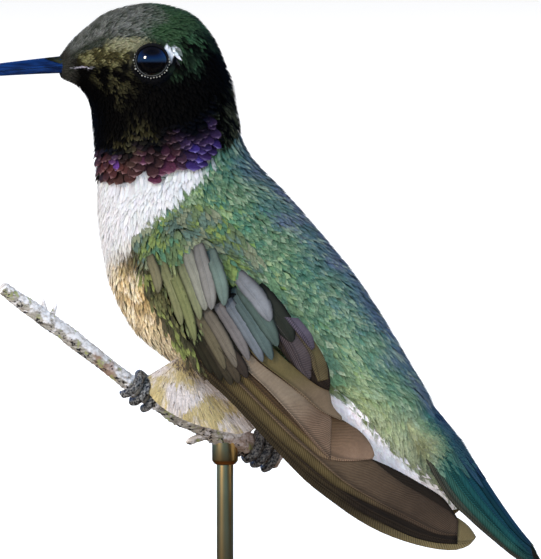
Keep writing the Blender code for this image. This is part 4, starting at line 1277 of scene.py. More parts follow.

# %% [markdown]
# Over the roots of the flight feathers lie rows of coverts. Each has a pale middle and
# edges and root darkened with painted shade, so a row reads as pale strokes with dark gaps.
# The primary coverts are almost black, the greater ones run from brown through grey and
# violet to blue-green, and the median ones are olive in front and pale grey behind. A dark
# sheet below them and a dark feather along the back's edge are painted shade in the gaps.

# %% Coverts
# root, tip, outer vane, inner vane, tint, gloss
COVERT_ROWS = [
    # A broad dark sheet under the rest: painted shade in the gaps between the coverts.
    [((-4.6, 39.5), (1.2, 32.8), 1.3, 3.0, (40, 37, 28), 0.05)],
    [((-3.6, 35.9), (-1.2, 31.6), 0.42, 0.50, (42, 38, 24), 0.1),
     ((-2.9, 35.7), (-0.3, 30.9), 0.42, 0.50, (48, 42, 28), 0.1),
     ((-2.1, 35.3), (0.7, 30.5), 0.45, 0.55, (60, 52, 38), 0.1),
     ((-1.2, 34.9), (1.4, 30.7), 0.45, 0.55, (70, 60, 46), 0.1),
     ((-0.3, 34.5), (2.2, 31.2), 0.45, 0.50, (58, 48, 40), 0.1)],
    # The first of this row is a dark feather along the back's edge: painted shade there.
    [((3.0, 39.8), (6.5, 34.7), 0.7, 0.8, (42, 44, 36), 0.1),
     ((-3.4, 38.3), (0.1, 32.0), 0.42, 0.52, (100, 90, 68), 0.1),
     ((-2.4, 38.5), (1.2, 32.2), 0.44, 0.54, (110, 100, 86), 0.1),
     ((-1.2, 38.9), (2.4, 32.9), 0.44, 0.54, (112, 105, 102), 0.1),
     ((-0.3, 39.3), (3.7, 32.8), 0.47, 0.58, (108, 112, 116), 0.15),
     ((0.6, 39.7), (4.6, 33.0), 0.52, 0.62, (84, 98, 94), 0.2),
     ((1.2, 40.1), (5.1, 34.3), 0.55, 0.72, (78, 92, 84), 0.2),
     ((1.1, 41.0), (4.4, 36.7), 0.55, 0.80, (128, 128, 130), 0.15)],
    [((-7.2, 42.8), (-6.2, 39.3), 0.38, 0.44, (120, 112, 84), 0.1),
     ((-6.1, 42.4), (-4.0, 36.2), 0.40, 0.48, (124, 122, 84), 0.12),
     ((-5.3, 42.2), (-2.7, 34.7), 0.40, 0.48, (120, 121, 78), 0.12),
     ((-4.3, 42.4), (-2.2, 36.8), 0.42, 0.50, (126, 126, 92), 0.12),
     ((-3.7, 43.4), (-1.7, 37.7), 0.52, 0.60, (138, 135, 120), 0.1),
     ((-2.6, 43.9), (-1.1, 37.8), 0.52, 0.62, (132, 127, 120), 0.1),
     ((-1.4, 43.4), (0.1, 38.2), 0.48, 0.58, (104, 118, 108), 0.15)]]
COVERT_LIFTS = (0.34, 0.42, 0.50, 0.68)
covert_blades, covert_colours = [], []
for rank, covert_row in enumerate(COVERT_ROWS):
    for k, (start, end, out, inside, tone, gloss) in enumerate(covert_row):
        lift = COVERT_LIFTS[rank] + 0.025 * k
        made = blade(wing, bowed(start, end, -0.25), 1.25 * out, 1.35 * inside, lift, tuck=0.08,
                     tip_from=0.58, tip_power=1.7, root_width=0.7, sink=lift + 0.05,
                     seed=90 + 10 * rank + k)
        covert_blades.append(made)
        dark = tuple(0.84 * v for v in tone)
        # Painted shade along both edges and towards the root; the end is a little darker.
        covert_colours.append(vane_colours(made, tone, tone, dark, gloss, 200 + 10 * rank + k,
                                           0.40, 0.22, 0.80, (1.1, 0.85), 0.6))
covert_finish = vane_finish("covert_vanes", 0.12, 0.13, 0.9, 0.3)
for side, flip in BOTH_SIDES:
    coverts = blades_piece(f"coverts_{side}", covert_blades, covert_colours, 0.03, flip)
    shown(coverts, covert_finish, (f"wing_{side}_coverts",))

# %% [markdown]
# The top of the wing and its leading edge carry small soft green feathers that run into
# those of the back, so no border shows between wing and body. They are rooted on a sheet
# that drapes over wing and body together, found by looking at both from the side and
# smoothing the step.

# %% Small feathers over the shoulder
cover_names = ["trunk", "neck", "wing_left_coverts", "wing_left_flight"]
hull_x = np.arange(-13.0, 18.0, WING_STEP)
hull_z = np.arange(50.0, 24.0, -WING_STEP)
grid_x, grid_z = np.meshgrid(hull_x, hull_z, indexing="ij")
seen = near_face(cover_names, np.c_[grid_x.ravel(), grid_z.ravel()]).reshape(grid_x.shape)
known = ~np.isnan(seen)
drape = np.where(known, seen, -1.0)
for _ in range(5):
    padded = np.pad(drape, 1, mode="edge")
    mean = (padded[:-2, 1:-1] + padded[2:, 1:-1] + padded[1:-1, :-2] + padded[1:-1, 2:]) / 4
    drape = np.minimum((drape + mean) / 2, np.where(known, seen + 0.25, drape))
hull = Surface(np.stack([grid_x, drape, grid_z], axis=-1), False)


def on_hull(x, z):
    return (x - hull_x[0]) / WING_STEP, (hull_z[0] - z) / WING_STEP


def inside(places, outline):
    """Whether places are inside a closed outline."""
    x, z = places.T
    result = np.zeros(len(places), bool)
    for (x1, z1), (x2, z2) in zip(outline, outline[1:] + outline[:1]):
        cross = (z1 > z) != (z2 > z)
        slope = (x2 - x1) / (z2 - z1) if z1 != z2 else 0.0
        result ^= cross & (x < x1 + (z - z1) * slope)
    return result


def spread(outline, gap, seed):
    """Even random places inside an outline."""
    draw = np.random.default_rng(seed)
    low, high = np.min(outline, axis=0), np.max(outline, axis=0)
    tries = low + (high - low) * draw.random((int(8 * np.prod(high - low) / gap**2), 2))
    kept = []
    for place in tries[inside(tries, outline)]:
        if all((place[0] - x) ** 2 + (place[1] - z) ** 2 > gap * gap for x, z in kept):
            kept.append(place)
    return np.array(kept)


# outline, gap, length, width, direction down from +x, height of the tips, tints, gloss
SHOULDER = [
    ([(-9.0, 44.6), (-7.2, 46.9), (-4.3, 48.4), (-1.0, 47.2), (1.6, 44.7), (3.2, 42.6), (2.6, 40.8),
      (0.8, 40.6), (-0.6, 41.6), (-2.2, 42.4), (-3.6, 41.8), (-5.0, 41.0), (-6.4, 41.6), (-8.2, 42.6)],
     0.25, 1.5, 0.72, -58, 0.36,
     ((76, 92, 58), (68, 102, 76), (104, 118, 62), (86, 100, 68), (82, 100, 86), (112, 116, 90)), 0.25),
    ([(-9.0, 43.8), (-6.6, 42.8), (-6.2, 40.0), (-4.9, 37.1), (-3.3, 34.3), (-2.2, 32.6), (-3.2, 32.9),
      (-5.0, 35.0), (-6.8, 37.9), (-8.2, 41.2)], 0.25, 1.5, 0.52, -70, 0.40,
     ((78, 74, 42), (92, 90, 52), (58, 54, 32), (108, 112, 58), (66, 58, 38)), 0.15),
    ([(-6.2, 42.6), (-4.8, 42.4), (-3.2, 39.4), (-2.2, 36.4), (-3.2, 35.4), (-4.8, 37.6), (-5.8, 40.0)],
     0.36, 1.4, 0.40, -68, 0.85, ((96, 100, 62), (80, 84, 48), (112, 116, 78)), 0.15),
    ([(0.3, 43.9), (3.2, 42.4), (5.1, 39.7), (7.4, 36.8), (9.8, 34.5), (10.7, 31.6), (9.9, 31.2),
      (9.0, 33.5), (7.2, 35.6), (4.9, 37.6), (3.0, 39.6), (1.4, 41.0)], 0.25, 1.6, 0.70, -56, 0.32,
     ((126, 142, 104), (96, 124, 88), (146, 156, 124), (92, 120, 92), (112, 132, 92)), 0.25)]
for side, flip in BOTH_SIDES:
    laid_groups, colour_groups, gloss_groups, map_groups = [], [], [], []
    for number, (outline, gap, long, wide, aim, proud, tones, gloss) in enumerate(SHOULDER):
        draw = np.random.default_rng(300 + number)
        places = spread(outline, gap, 310 + number)
        size = len(places)
        laid = lay(hull, SOFT, *on_hull(places[:, 0], places[:, 1]), long * draw.uniform(0.8, 1.2, size),
                   wide * draw.uniform(0.85, 1.2, size), np.radians(aim + draw.normal(0, 9, size)),
                   np.full(size, 0.0), proud * draw.uniform(0.5, 1.1, size), draw.normal(0, 0.06, size))
        if flip is not None:
            laid = mirrored(laid, flip)
        patch = mottle(np.c_[places[:, 0], np.zeros(size), places[:, 1]], 2.2, 77 + number)
        order = np.clip(((patch + 1) / 2 * len(tones)).astype(int), 0, len(tones) - 1)
        tints = np.array([rgb(*tone) for tone in tones])[order] * draw.uniform(0.86, 1.14, (size, 1))
        laid_groups.append(laid)
        colour_groups.append(tints)
        gloss_groups.append(np.full(size, gloss))
        map_groups.append(bake_map(*nearest_on_body(laid[:, 0])))
    tints = np.concatenate(colour_groups)
    piece = feather_piece(f"shoulder_{side}", SOFT, np.concatenate(laid_groups), tints, tints * 1.3,
                          np.concatenate(gloss_groups), np.concatenate(map_groups), root_shade=0.65)
    shown(piece, plumage)

# %% [markdown]
# Seen from in front, a folded wing isn't a plate beside the body: its feathered front edge
# rounds over into the flank. A soft roll fills that corner. Each of its rows starts at the
# wing's front edge, bulges forward a little and ends on the trunk under the wing, apart from
# the lowest, which end sooner so that the roll tapers off. Small feathers cover it, green at
# the top and brown below.

# %% The roll at the wing's front
EDGE_X = edge([(31, -1.5), (33, -3.1), (35, -4.5), (37, -5.7), (39, -6.7), (41, -7.3), (43, -7.5),
               (44.5, -7.2)])
ROLL_ROWS, ROLL_COLUMNS = 61, 19
roll_z = np.linspace(44.5, 31.0, ROLL_ROWS)
roll_x = EDGE_X(roll_z)
outer_y = hull.read(*on_hull(roll_x + 0.3, roll_z))[0][:, 1]
trunk_y = near_face(["trunk"], np.c_[roll_x + 1.6, roll_z])
trunk_y = np.where(np.isnan(trunk_y), -4.0, trunk_y)
ends_at = np.interp(roll_z, [31, 35.5], [0.25, 1.0])[:, None]
t = np.linspace(0, 1, ROLL_COLUMNS)[None, :] * ends_at
bulge = 0.75 * np.interp(roll_z, [41, 44], [1, 0])[:, None]
roll = np.stack([roll_x[:, None] + 0.3 - bulge * np.sin(pi * np.minimum(t * 1.25, 1)) + 1.3 * t**2,
                 (outer_y[:, None] + 0.15) * (1 - t) + (trunk_y[:, None] + 0.3) * t,
                 roll_z[:, None] + 0 * t], axis=-1)
behind = roll[:, ::-1] + np.array([0.8, 0.15, 0.0])
# heights from below and the tones there
ROLL_LEVELS = (28, 32, 36, 40, 43, 46)
ROLL_TONES = ((56, 47, 34), (62, 52, 36), (84, 72, 46), (96, 90, 56), (86, 98, 58), (84, 106, 66))
for side, flip in BOTH_SIDES:
    closed, shape = np.concatenate([roll, behind], axis=1), roll
    if flip is not None:
        closed, shape = mirrored(closed, flip)[:, ::-1], mirrored(roll, flip)[:, ::-1]
    form = from_grid(f"wing_front_form_{side}", closed, wraps=True)
    one_colour(form.data, rgb(52, 46, 32))
    shown(form, skin_finish)
    draw = np.random.default_rng(350)
    size = 1500
    row, column = draw.uniform(0, ROLL_ROWS - 5, size), draw.uniform(0, ROLL_COLUMNS - 1, size)
    laid = lay(Surface(shape, False), SOFT, row, column, draw.uniform(1.2, 1.9, size),
               draw.uniform(0.4, 0.6, size), draw.normal(0, 0.15, size), np.full(size, -0.1),
               draw.uniform(0.05, 0.3, size), draw.normal(0, 0.1, size))
    tints = ramp(np.interp(row, np.arange(ROLL_ROWS), roll_z), ROLL_LEVELS, ROLL_TONES)
    tints = tints * draw.uniform(0.6, 1.3, (size, 1))
    piece = feather_piece(f"wing_front_{side}", SOFT, laid, tints, tints * 1.5, np.full(size, 0.1),
                          bake_map(*nearest_on_body(laid[:, 0])))
    shown(piece, plumage)

# %% [markdown]
# ## The tail
# Ten feathers lie folded in an arch. The middle pair is on top, each outer pair lies under
# the one inside it, and the outer ones are the longest, so the end is notched. The arch is
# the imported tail's: a top line, a half width and a droop of the outer feathers. It gets one
# row more in front, where it hugs the rump, and it rises from it over a third of its length.

# %% Tail feathers
TAIL = [((19.5, 28.5), 3.6, 2.2), ((21.6, 26.6), 4.6, 2.6), ((23.1, 23.9), 4.8, 2.9),
        ((24.9, 21.2), 4.8, 3.0), ((26.5, 18.8), 4.3, 2.4), ((28.1, 16.6), 3.5, 1.8),
        ((29.7, 14.7), 2.8, 1.4), ((31.2, 13.0), 2.3, 1.0)]
TAIL_ROWS, TAIL_COLUMNS = 71, 61
tail_at = np.linspace(0, len(TAIL) - 1, TAIL_ROWS)
tail_side = np.linspace(-1.15, 1.15, TAIL_COLUMNS)
table = through([(*top, half, droop) for top, half, droop in TAIL], tail_at)
run = unit(table[-1, :2] - table[10, :2])
below = np.array([run[1], -run[0]])
drop = table[:, 3:4] * (1 - np.cos(tail_side * pi / 2))[None, :]
arch = np.stack([table[:, 0:1] + below[0] * drop,
                 table[:, 2:3] * np.sin(tail_side * pi / 2)[None, :],
                 table[:, 1:2] + below[1] * drop], axis=-1)
arch = turned(arch, TRUNK_TURN)[:, ::-1]
found = np.array([finder.find(place)[1] for place in arch.reshape(-1, 3)])
under = coarse.reshape(-1, 12)[found].reshape(*arch.shape[:2], 12)
above = ((arch - under[..., :3]) * under[..., 3:6]).sum(axis=-1, keepdims=True)
grown = np.clip((tail_at / tail_at[-1] - 0.02) / 0.24, 0, 1)[:, None, None]
arch = arch + under[..., 3:6] * (np.clip(above, 0, None) * (grown - 1) - np.clip(above, None, 0))
for _ in range(4):
    arch[1:-1] = (arch[:-2] + 2 * arch[1:-1] + arch[2:]) / 4
tail_sheet = Surface(arch, False)


def on_tail(share, across):
    """Rows and columns for shares of the length and places across, 1 at the left margin."""
    return share * (TAIL_ROWS - 1), (across / 1.15 + 1) / 2 * (TAIL_COLUMNS - 1)


# place across the arch, share of the length, width of outer and inner vane, their tints
RECTRICES = [(0.94, 1.00, 0.40, 1.5, (58, 56, 46), (48, 50, 42)),
             (0.85, 0.965, 0.45, 1.7, (54, 60, 50), (38, 62, 54)),
             (0.72, 0.935, 0.80, 1.9, (44, 84, 72), (30, 78, 72)),
             (0.50, 0.90, 0.90, 1.9, (28, 80, 76), (22, 70, 76)),
             (0.20, 0.86, 1.10, 2.0, (14, 56, 54), (10, 50, 56))]
TAIL_DARK = (26, 30, 34)
TAIL_LAYER = 0.05
tail_blades, tail_colours = [], []


def add_tail_blade(side, place, start, stop, outer, inner, lift, tints, end_tint, end_from, seed,
                   gloss, tip_from=0.78, tip_power=1.15):
    """A blade on the tail's arch, at a place across it, between two shares of its length."""
    def middle(share):
        return on_tail(start + (stop - start) * share, -side * place * (1.02 - 0.08 * share))
    widths, pair = ((outer, inner), tints) if side < 0 else ((inner, outer), tints[::-1])
    made = blade(tail_sheet, middle, *widths, lift, tuck=0.05, tip_from=tip_from,
                 tip_power=tip_power, sink=0.5, seed=seed)
    # Painted shade along the edges, deeper along the outer vane's edge.
    edge_shades = (0.5, 0.85) if side < 0 else (0.85, 0.5)
    tail_blades.append(made)
    tail_colours.append(vane_colours(made, *pair, end_tint, gloss, seed, *edge_shades, end_from))


for k, (place, reach, outer, inner, outer_tint, inner_tint) in enumerate(RECTRICES):
    for side in (-1, 1):
        add_tail_blade(side, place, 0, reach, outer, inner, 0.02 + TAIL_LAYER * k,
                       (outer_tint, inner_tint), TAIL_DARK, 0.86, 140 + k, 0.3 if k > 1 else 0.1)
# Long feathers over the tail's root: place across, shares, half width, tint
for k, (place, start, reach, half, tint) in enumerate([
        (0.46, 0.02, 0.40, 0.55, (60, 92, 84)), (0.30, 0.04, 0.47, 0.75, (44, 74, 88)),
        (0.10, 0.02, 0.44, 0.85, (30, 52, 74))]):
    for side in (-1, 1):
        add_tail_blade(side, place, start, reach, half, half, 0.24 + 0.02 * k, (tint, tint),
                       tuple(1.1 * v for v in tint), 0.8, 160 + k, 0.25, 0.6, 1.5)
tail_finish = vane_finish("tail_vanes", 0.38, 0.22, 0.8, 0.3)
tail = blades_piece("tail_feathers_visual", tail_blades, tail_colours, 0.04)
shown(tail, tail_finish, ("tail_feathers",))

# %% [markdown]
# Soft feathers with long loose barbs lie over the roots of the tail, so that rump and tail
# run into each other: blue-green along the spine, then green, then straw yellow at the side.

# %% Feathers over the tail's root
draw = np.random.default_rng(171)
VEIL_COUNT, VEIL_ENDS = 3600, 0.31
share = draw.uniform(-0.02, 1, VEIL_COUNT).clip(0.002) ** 1.1 * VEIL_ENDS
across = draw.uniform(-1.0, 1.0, VEIL_COUNT)
kept = share < VEIL_ENDS * (1 - 0.3 * np.abs(across) ** 1.5) * draw.uniform(0.55, 1.1, VEIL_COUNT)
share, across = share[kept], across[kept]
row, column = on_tail(share, across)
size = len(row)
laid = lay(tail_sheet, SOFT, row, column, draw.uniform(1.3, 2.3, size), draw.uniform(0.45, 0.75, size),
           draw.normal(0, 0.10, size), np.full(size, -0.15),
           draw.uniform(0.12, 0.30, size) + 0.2 * np.clip(share / 0.1, 0, 1) * (1 - np.abs(across)),
           draw.normal(0, 0.06, size))
blot = mottle(laid[:, 0], 1.6, 172)
from_spine = np.abs(across) + 0.10 * blot
veil = ramp(from_spine, (0.0, 0.22, 0.42, 0.62, 0.80, 0.92, 1.0),
            ((36, 62, 82), (34, 78, 92), (48, 94, 84), (92, 122, 92), (140, 146, 108), (124, 126, 88),
             (100, 102, 70)))
speck = (draw.random(size) < 0.25)[:, None]
veil = np.where(speck, veil * 0.8 + 0.04, veil) * draw.uniform(0.75, 1.2, (size, 1))
ending = np.clip((share / VEIL_ENDS - 0.45) / 0.45, 0, 1)[:, None]
veil = veil * (1 - 0.8 * ending) + 0.8 * ending * np.array(rgb(34, 84, 78))
piece = feather_piece("tail_root_coat", SOFT, laid, veil, veil * 1.4, np.full(size, 0.3),
                      bake_map(*nearest_on_body(laid[:, 0])), root_shade=0.7)
shown(piece, plumage)

# %% [markdown]
# ## The bill
# Two horn sheaths, thin as needles, close against each other along a fine line. Each is a
# row of D-shaped rings: round outside and flat where the two meet. The upper one has a low
# ridge along its top and a shallow slit for the nostril beside its root.

# %% Bill
BILL_ROOT, BILL_LENGTH = (-15.4, 60.70), 19.1
BILL_FALL, BILL_CURVE = 0.95, 0.8
TIP_HALF, ROOT_HALF, TIP_DEPTH, BILL_PARTING = 0.17, 0.98, 0.20, 0.03
bill_share = np.linspace(0, 1, 90)
sweep = np.linspace(0, pi, 19)
floor_across = np.linspace(-1, 1, 9)[1:-1]
bill_pieces = []


def bill_taper(share):
    """How much of the root's thickness is left at a share of the bill's length."""
    return (1 - share) ** 1.15


horn, shader, wire = finish("horn", Roughness=0.30, Specular_IOR_Level=0.25)
where = wire.place()
grain = where.stretched((200.0, 3000.0, 3000.0)).noise(1.0, 3.0)
# The deep blue in the horn's colour is a painted reflection of the sky; the horn itself is black.
feed(grain.rise(0.35, 0.7).between(rgb(3, 20, 52), rgb(5, 46, 100)), shader, "Base Color")
feed(0.24 + 0.18 * grain, shader, "Roughness")
feed(bump(wire, grain, 0.25, 0.00003), shader, "Normal")
for name, side, root_depth in (("bill_upper_horn", 1, 0.88), ("bill_lower_horn", -1, 0.64)):
    taper = bill_taper(bill_share)
    x = BILL_ROOT[0] - BILL_LENGTH * bill_share
    middle = BILL_ROOT[1] - BILL_FALL * bill_share - BILL_CURVE * bill_share**2
    half = TIP_HALF + (ROOT_HALF - TIP_HALF) * taper
    deep = TIP_DEPTH + (root_depth - TIP_DEPTH) * taper
    y = np.concatenate([np.cos(sweep), floor_across])
    z = np.concatenate([np.sin(sweep) ** 0.85, floor_across * 0])
    rings = np.empty((len(bill_share), len(y), 3))
    ridge = 1 + (0.10 * np.exp(-((y / 0.22) ** 2)) if side > 0 else 0) * (z > 0.5)
    rings[..., 0] = x[:, None]
    rings[..., 1] = half[:, None] * y[None, :]
    rings[..., 2] = middle[:, None] + side * (BILL_PARTING + deep[:, None] * (z * ridge)[None, :])
    if side > 0:
        slit = np.exp(-((x[:, None] + 17.1) / 0.75) ** 2) * np.exp(-((z[None, :] - 0.45) / 0.16) ** 2)
        rings[..., 1] -= 0.22 * slit * np.sign(rings[..., 1])
    end = bill_share[:, None] > 0.985
    rings[..., 1] = np.where(end, rings[..., 1] * 0.45, rings[..., 1])
    piece = from_grid(name, turned(rings, HEAD_TURN), wraps=True)
    bpy.ops.object.shade_smooth_by_angle(angle=radians(50))
    bill_pieces.append(piece)
shown(bill_pieces[0], horn, ("bill_upper",))
shown(bill_pieces[1], horn, ("bill_lower",))

# %% [markdown]
# Small dark feathers run from the face onto the root of the upper sheath. They are rooted on
# a sheet of their own, narrow where it starts on the bill and wider towards the face.

# %% Feathers over the bill's root
FLAP_ROWS, FLAP_COLUMNS, FLAP_STARTS = 31, 25, 0.120
flap_share = np.linspace(FLAP_STARTS, -0.05, FLAP_ROWS)[:, None]
at_base = np.clip(flap_share, 0, None)
taper = bill_taper(at_base)
open_angle = 0.35 + 1.25 * np.clip((FLAP_STARTS - flap_share) / FLAP_STARTS, 0, 1) ** 0.8
angle = pi / 2 + open_angle * np.linspace(-1, 1, FLAP_COLUMNS)[None, :]
swollen = 0.05 + 0.8 * BILL_LENGTH * np.clip(-flap_share, 0, None)
flap = np.empty((FLAP_ROWS, FLAP_COLUMNS, 3))
flap[..., 0] = BILL_ROOT[0] - BILL_LENGTH * flap_share
flap[..., 1] = (0.17 + 0.81 * taper + swollen) * np.cos(angle)
flap[..., 2] = BILL_ROOT[1] - BILL_FALL * at_base + (0.23 + 0.68 * taper + swollen) * np.sin(angle)
draw = np.random.default_rng(58)
size = 520
row, column = draw.uniform(0, FLAP_ROWS * 0.68, size), draw.uniform(0, FLAP_COLUMNS - 1, size)
laid = lay(Surface(turned(flap, HEAD_TURN), False), FINE, row, column, draw.uniform(0.34, 0.55, size),
           draw.uniform(0.14, 0.22, size), draw.normal(0, 0.15, size), np.full(size, -0.06),
           draw.uniform(0.02, 0.06, size), draw.normal(0, 0.06, size))
toward_face = np.clip(row / (FLAP_ROWS * 0.6), 0, 1)[:, None]
tints = np.array(rgb(16, 20, 16)) * (1 - toward_face) + np.array(rgb(58, 60, 44)) * toward_face
tints = tints * draw.uniform(0.6, 1.4, (size, 1))
piece = feather_piece("bill_root_coat", FINE, laid, tints, tints * 1.6, np.full(size, 0.1),
                      bake_map(*nearest_on_body(laid[:, 0])), root_shade=0.7)
shown(piece, dark_plumage)

# %% [markdown]
# ## The eyes
# The eye is a wet ball, nearly black, with a dark brown iris round a wide pupil. It bulges
# from the socket by about half its radius. A rim of bare skin closes round it, thicker
# above, where it is the edge of the upper lid. Elsewhere it is set with small pale beads and
# is pale along its inner edge.

# %% Eyes and lids
eye_finish, shader, wire = finish("eye_gloss", Roughness=0.03, Specular_IOR_Level=0.9)
facing = {}
for side, centre in eye_middle.items():
    s, degrees = nearest_on_body(centre[None, :])
    _, normal, _, _ = body.read(*on_body(s, radians(1) * degrees))
    facing[side] = unit(normal[0] + np.array([-0.10, 0, 0.0]))
for side, centre in eye_middle.items():
    bpy.ops.object.select_all(action="DESELECT")
    bpy.ops.mesh.primitive_uv_sphere_add(segments=64, ring_count=40, radius=EYE_RADIUS)
    ball = bpy.context.object
    ball.name = ball.data.name = f"eye_ball_{side}"
    spots = np.array([v.co for v in ball.data.vertices])
    swell = np.clip(spots @ facing[side] / EYE_RADIUS - 0.72, 0, 1)
    spots = spots * (1 + 0.10 * swell[:, None] ** 1.3) + centre
    ball.data.vertices.foreach_set("co", (spots * MM).astype(np.float32).ravel())
    iris = ball.data.attributes.new("Iris", "FLOAT", "POINT")
    iris.data.foreach_set("value", swell.astype(np.float32))
    ball.data.update()
    bpy.ops.object.shade_smooth()
    shown(ball, eye_finish, (f"eye_{side}",))
iris = wire.carried("Iris", 2)
where = wire.place()
fleck = where.noise(6000.0, 2.0)
ring = iris.rise(0.02, 0.06) * (1 - iris.rise(0.12, 0.15)) * (0.5 + fleck)
feed(ring.between(rgb(2, 2, 3), rgb(9, 7, 6)), shader, "Base Color")

lid_finish, shader, wire = finish("lid_skin", Roughness=0.6, Specular_IOR_Level=0.15)
where = wire.place()
grain = where.noise(9000.0, 2.0)
colour = wire.carried("Tint")
feed(colour.tinted(0.7 + 0.6 * grain), shader, "Base Color")
feed(bump(wire, grain, 0.4, 0.00003), shader, "Normal")

LID_RADIUS, LID_STEPS, BEADS, BEAD_POINTS = 1.56, 72, 23, 12
LID_SEAT, BEAD_SEAT = 1.52, 1.55
for side, centre in eye_middle.items():
    out = facing[side]
    up = unit(np.array([0, 0, 1.0]) - out[2] * out)
    ahead = np.cross(up, out)
    turn = np.linspace(0, 2 * pi, LID_STEPS, endpoint=False)
    brow = np.clip(np.sin(turn), 0, 1) ** 1.5
    height = np.sqrt(EYE_RADIUS**2 - LID_SEAT**2) + 0.02 + 0.10 * brow
    round_line = (centre + out * height[:, None]
                  + LID_RADIUS * (np.cos(turn)[:, None] * ahead + (np.sin(turn) - 0.05 * brow)[:, None] * up))
    thick = 0.10 + 0.09 * brow
    spoke = unit(round_line - centre - out * height[:, None])
    cross = np.linspace(0, 2 * pi, 12, endpoint=False)
    rings = (round_line[:, None, :] + thick[:, None, None]
             * (np.cos(cross)[None, :, None] * spoke[:, None, :] + np.sin(cross)[None, :, None] * out))
    rings = np.concatenate([rings, rings[:1]])
    lid = from_grid(f"lid_{side}", rings, wraps=True)
    pieces = [lid]
    for k in range(BEADS):
        angle = radians(-200 + 214 * k / (BEADS - 1))
        spot = (centre + out * (sqrt(EYE_RADIUS**2 - BEAD_SEAT**2) + 0.10)
                + (LID_RADIUS + 0.14) * (cos(angle) * ahead + sin(angle) * up))
        bpy.ops.object.select_all(action="DESELECT")
        size = 0.08 * (1 + 0.35 * sin(2.9 * k) * cos(1.3 * k))
        spot = spot + 0.05 * sin(4.1 * k) * unit(spot - centre)
        bpy.ops.mesh.primitive_ico_sphere_add(subdivisions=1, radius=size * MM, location=spot * MM)
        bpy.ops.object.transform_apply(location=True, rotation=True, scale=True)
        bpy.ops.object.shade_smooth()
        pieces.append(bpy.context.object)
    lid = joined(f"lid_{side}", pieces)
    spots = np.array([v.co for v in lid.data.vertices]) / MM
    bead = np.arange(len(spots)) >= len(spots) - BEAD_POINTS * BEADS
    tones = np.where(bead[:, None], np.array(rgb(150, 146, 136)), np.array(rgb(15, 13, 12)))
    reach = np.linalg.norm(spots - centre - out * ((spots - centre) @ out)[:, None], axis=1)
    inner = ~bead & (reach < LID_RADIUS - 0.01) & ((spots - centre) @ (up + 0.35 * ahead) < 0)
    tones = np.where(inner[:, None], np.array(rgb(88, 86, 80)), tones)
    set_colours(lid.data, tones, np.zeros(len(spots)))
    shown(lid, lid_finish)

# %% [markdown]
# ## Rods and tubes
# Toes, claws, the twig and its spurs are all round things that follow a line, so one
# function turns a line with a radius at each point into rings. The ring's frame is carried
# along the line, so that the tube doesn't twist.


# %% Tubes
def tube_rings(line, radii, around, ripple=None):
    """Rings round a line. ripple gives a factor for each ring and angle."""
    line = np.asarray(line, float)
    way = unit(np.gradient(line, axis=0))
    up = unit(np.cross(way[0], (0.3, 0.9, 0.31)))
    turn = np.linspace(0, 2 * pi, around, endpoint=False)
    rings = np.empty((len(line), around, 3))
    for k in range(len(line)):
        up = unit(up - way[k] * (up @ way[k]))
        side = np.cross(way[k], up)
        size = radii[k] * (np.ones(around) if ripple is None else ripple[k])
        rings[k] = line[k] + size[:, None] * (np.cos(turn)[:, None] * up + np.sin(turn)[:, None] * side)
    return rings


# %% [markdown]
# ## The twig
# The twig slants across under the bird. Its packed centre line and radii are repeated here,
# and the bark's lengthwise wrinkles, knots and lichen crusts are real relief, which shows in
# the outline. Two short spurs and a stub stand off it.

# %% Twig
TWIG = [(-21.1, 39.9, 0.62), (-19.4, 38.6, 0.66), (-17.0, 36.8, 0.80), (-15.4, 35.6, 0.72),
        (-12.6, 33.3, 0.74), (-10.4, 31.5, 0.78), (-8.2, 29.7, 0.82), (-6.0, 28.3, 0.86),
        (-4.2, 27.2, 0.98), (-2.2, 26.1, 1.04), (0.0, 25.0, 1.16), (1.4, 24.4, 1.08),
        (2.6, 23.9, 0.98), (3.8, 23.3, 1.04), (5.0, 22.7, 0.94)]
TWIG_DEPTH_SLOPE = 0.556
SPURS = [((-17.0, 36.8), (-17.3, 38.7), 0.42, 0.13), ((-16.6, 36.6), (-16.0, 38.3), 0.36, 0.12),
         ((-1.2, 25.4), (-3.7, 24.5), 0.55, 0.30)]
TWIG_RINGS, TWIG_AROUND = 420, 40


def bark_relief(rings, strength):
    """Factors for the radius: long wrinkles, knots and fine roughness."""
    flat = rings.reshape(-1, 3)
    along = unit(np.array([1, TWIG_DEPTH_SLOPE, -0.6]))
    squeezed = flat - 0.88 * (flat @ along)[:, None] * along
    wrinkle = mottle(squeezed, 0.5, 501)
    knot = np.clip(mottle(flat, 2.4, 502, 1), 0, 1)
    grain = mottle(flat, 0.22, 503)
    return 1 + strength * (0.10 * wrinkle + 0.20 * knot + 0.05 * grain).reshape(rings.shape[:2])


fine = through(TWIG, np.linspace(0, len(TWIG) - 1, TWIG_RINGS))
twig_line = np.c_[fine[:, 0], TWIG_DEPTH_SLOPE * fine[:, 0], fine[:, 1]]
plain = tube_rings(twig_line, fine[:, 2], TWIG_AROUND)
rough = bark_relief(plain, 1.0) * (1 + 0.14 * np.clip((twig_line[:, 0] + 3) / 3, 0, 1))[:, None]
twig_pieces = [from_grid("twig_stem", tube_rings(twig_line, fine[:, 2] * 0.96, TWIG_AROUND, rough), True)]
for (start, end, thick, thin) in SPURS:
    share = np.linspace(0, 1, 24)[:, None]
    flat = np.array(start) * (1 - share) + np.array(end) * share
    line = np.c_[flat[:, 0], TWIG_DEPTH_SLOPE * flat[:, 0] - 0.15 * share[:, 0], flat[:, 1]]
    radii = thick + (thin - thick) * share[:, 0]
    radii[-3:] *= (0.9, 0.65, 0.3)
    rings = tube_rings(line, radii, 20)
    twig_pieces.append(from_grid("twig_spur", tube_rings(line, radii, 20, bark_relief(rings, 0.8)), True))
twig = joined("twig", twig_pieces)

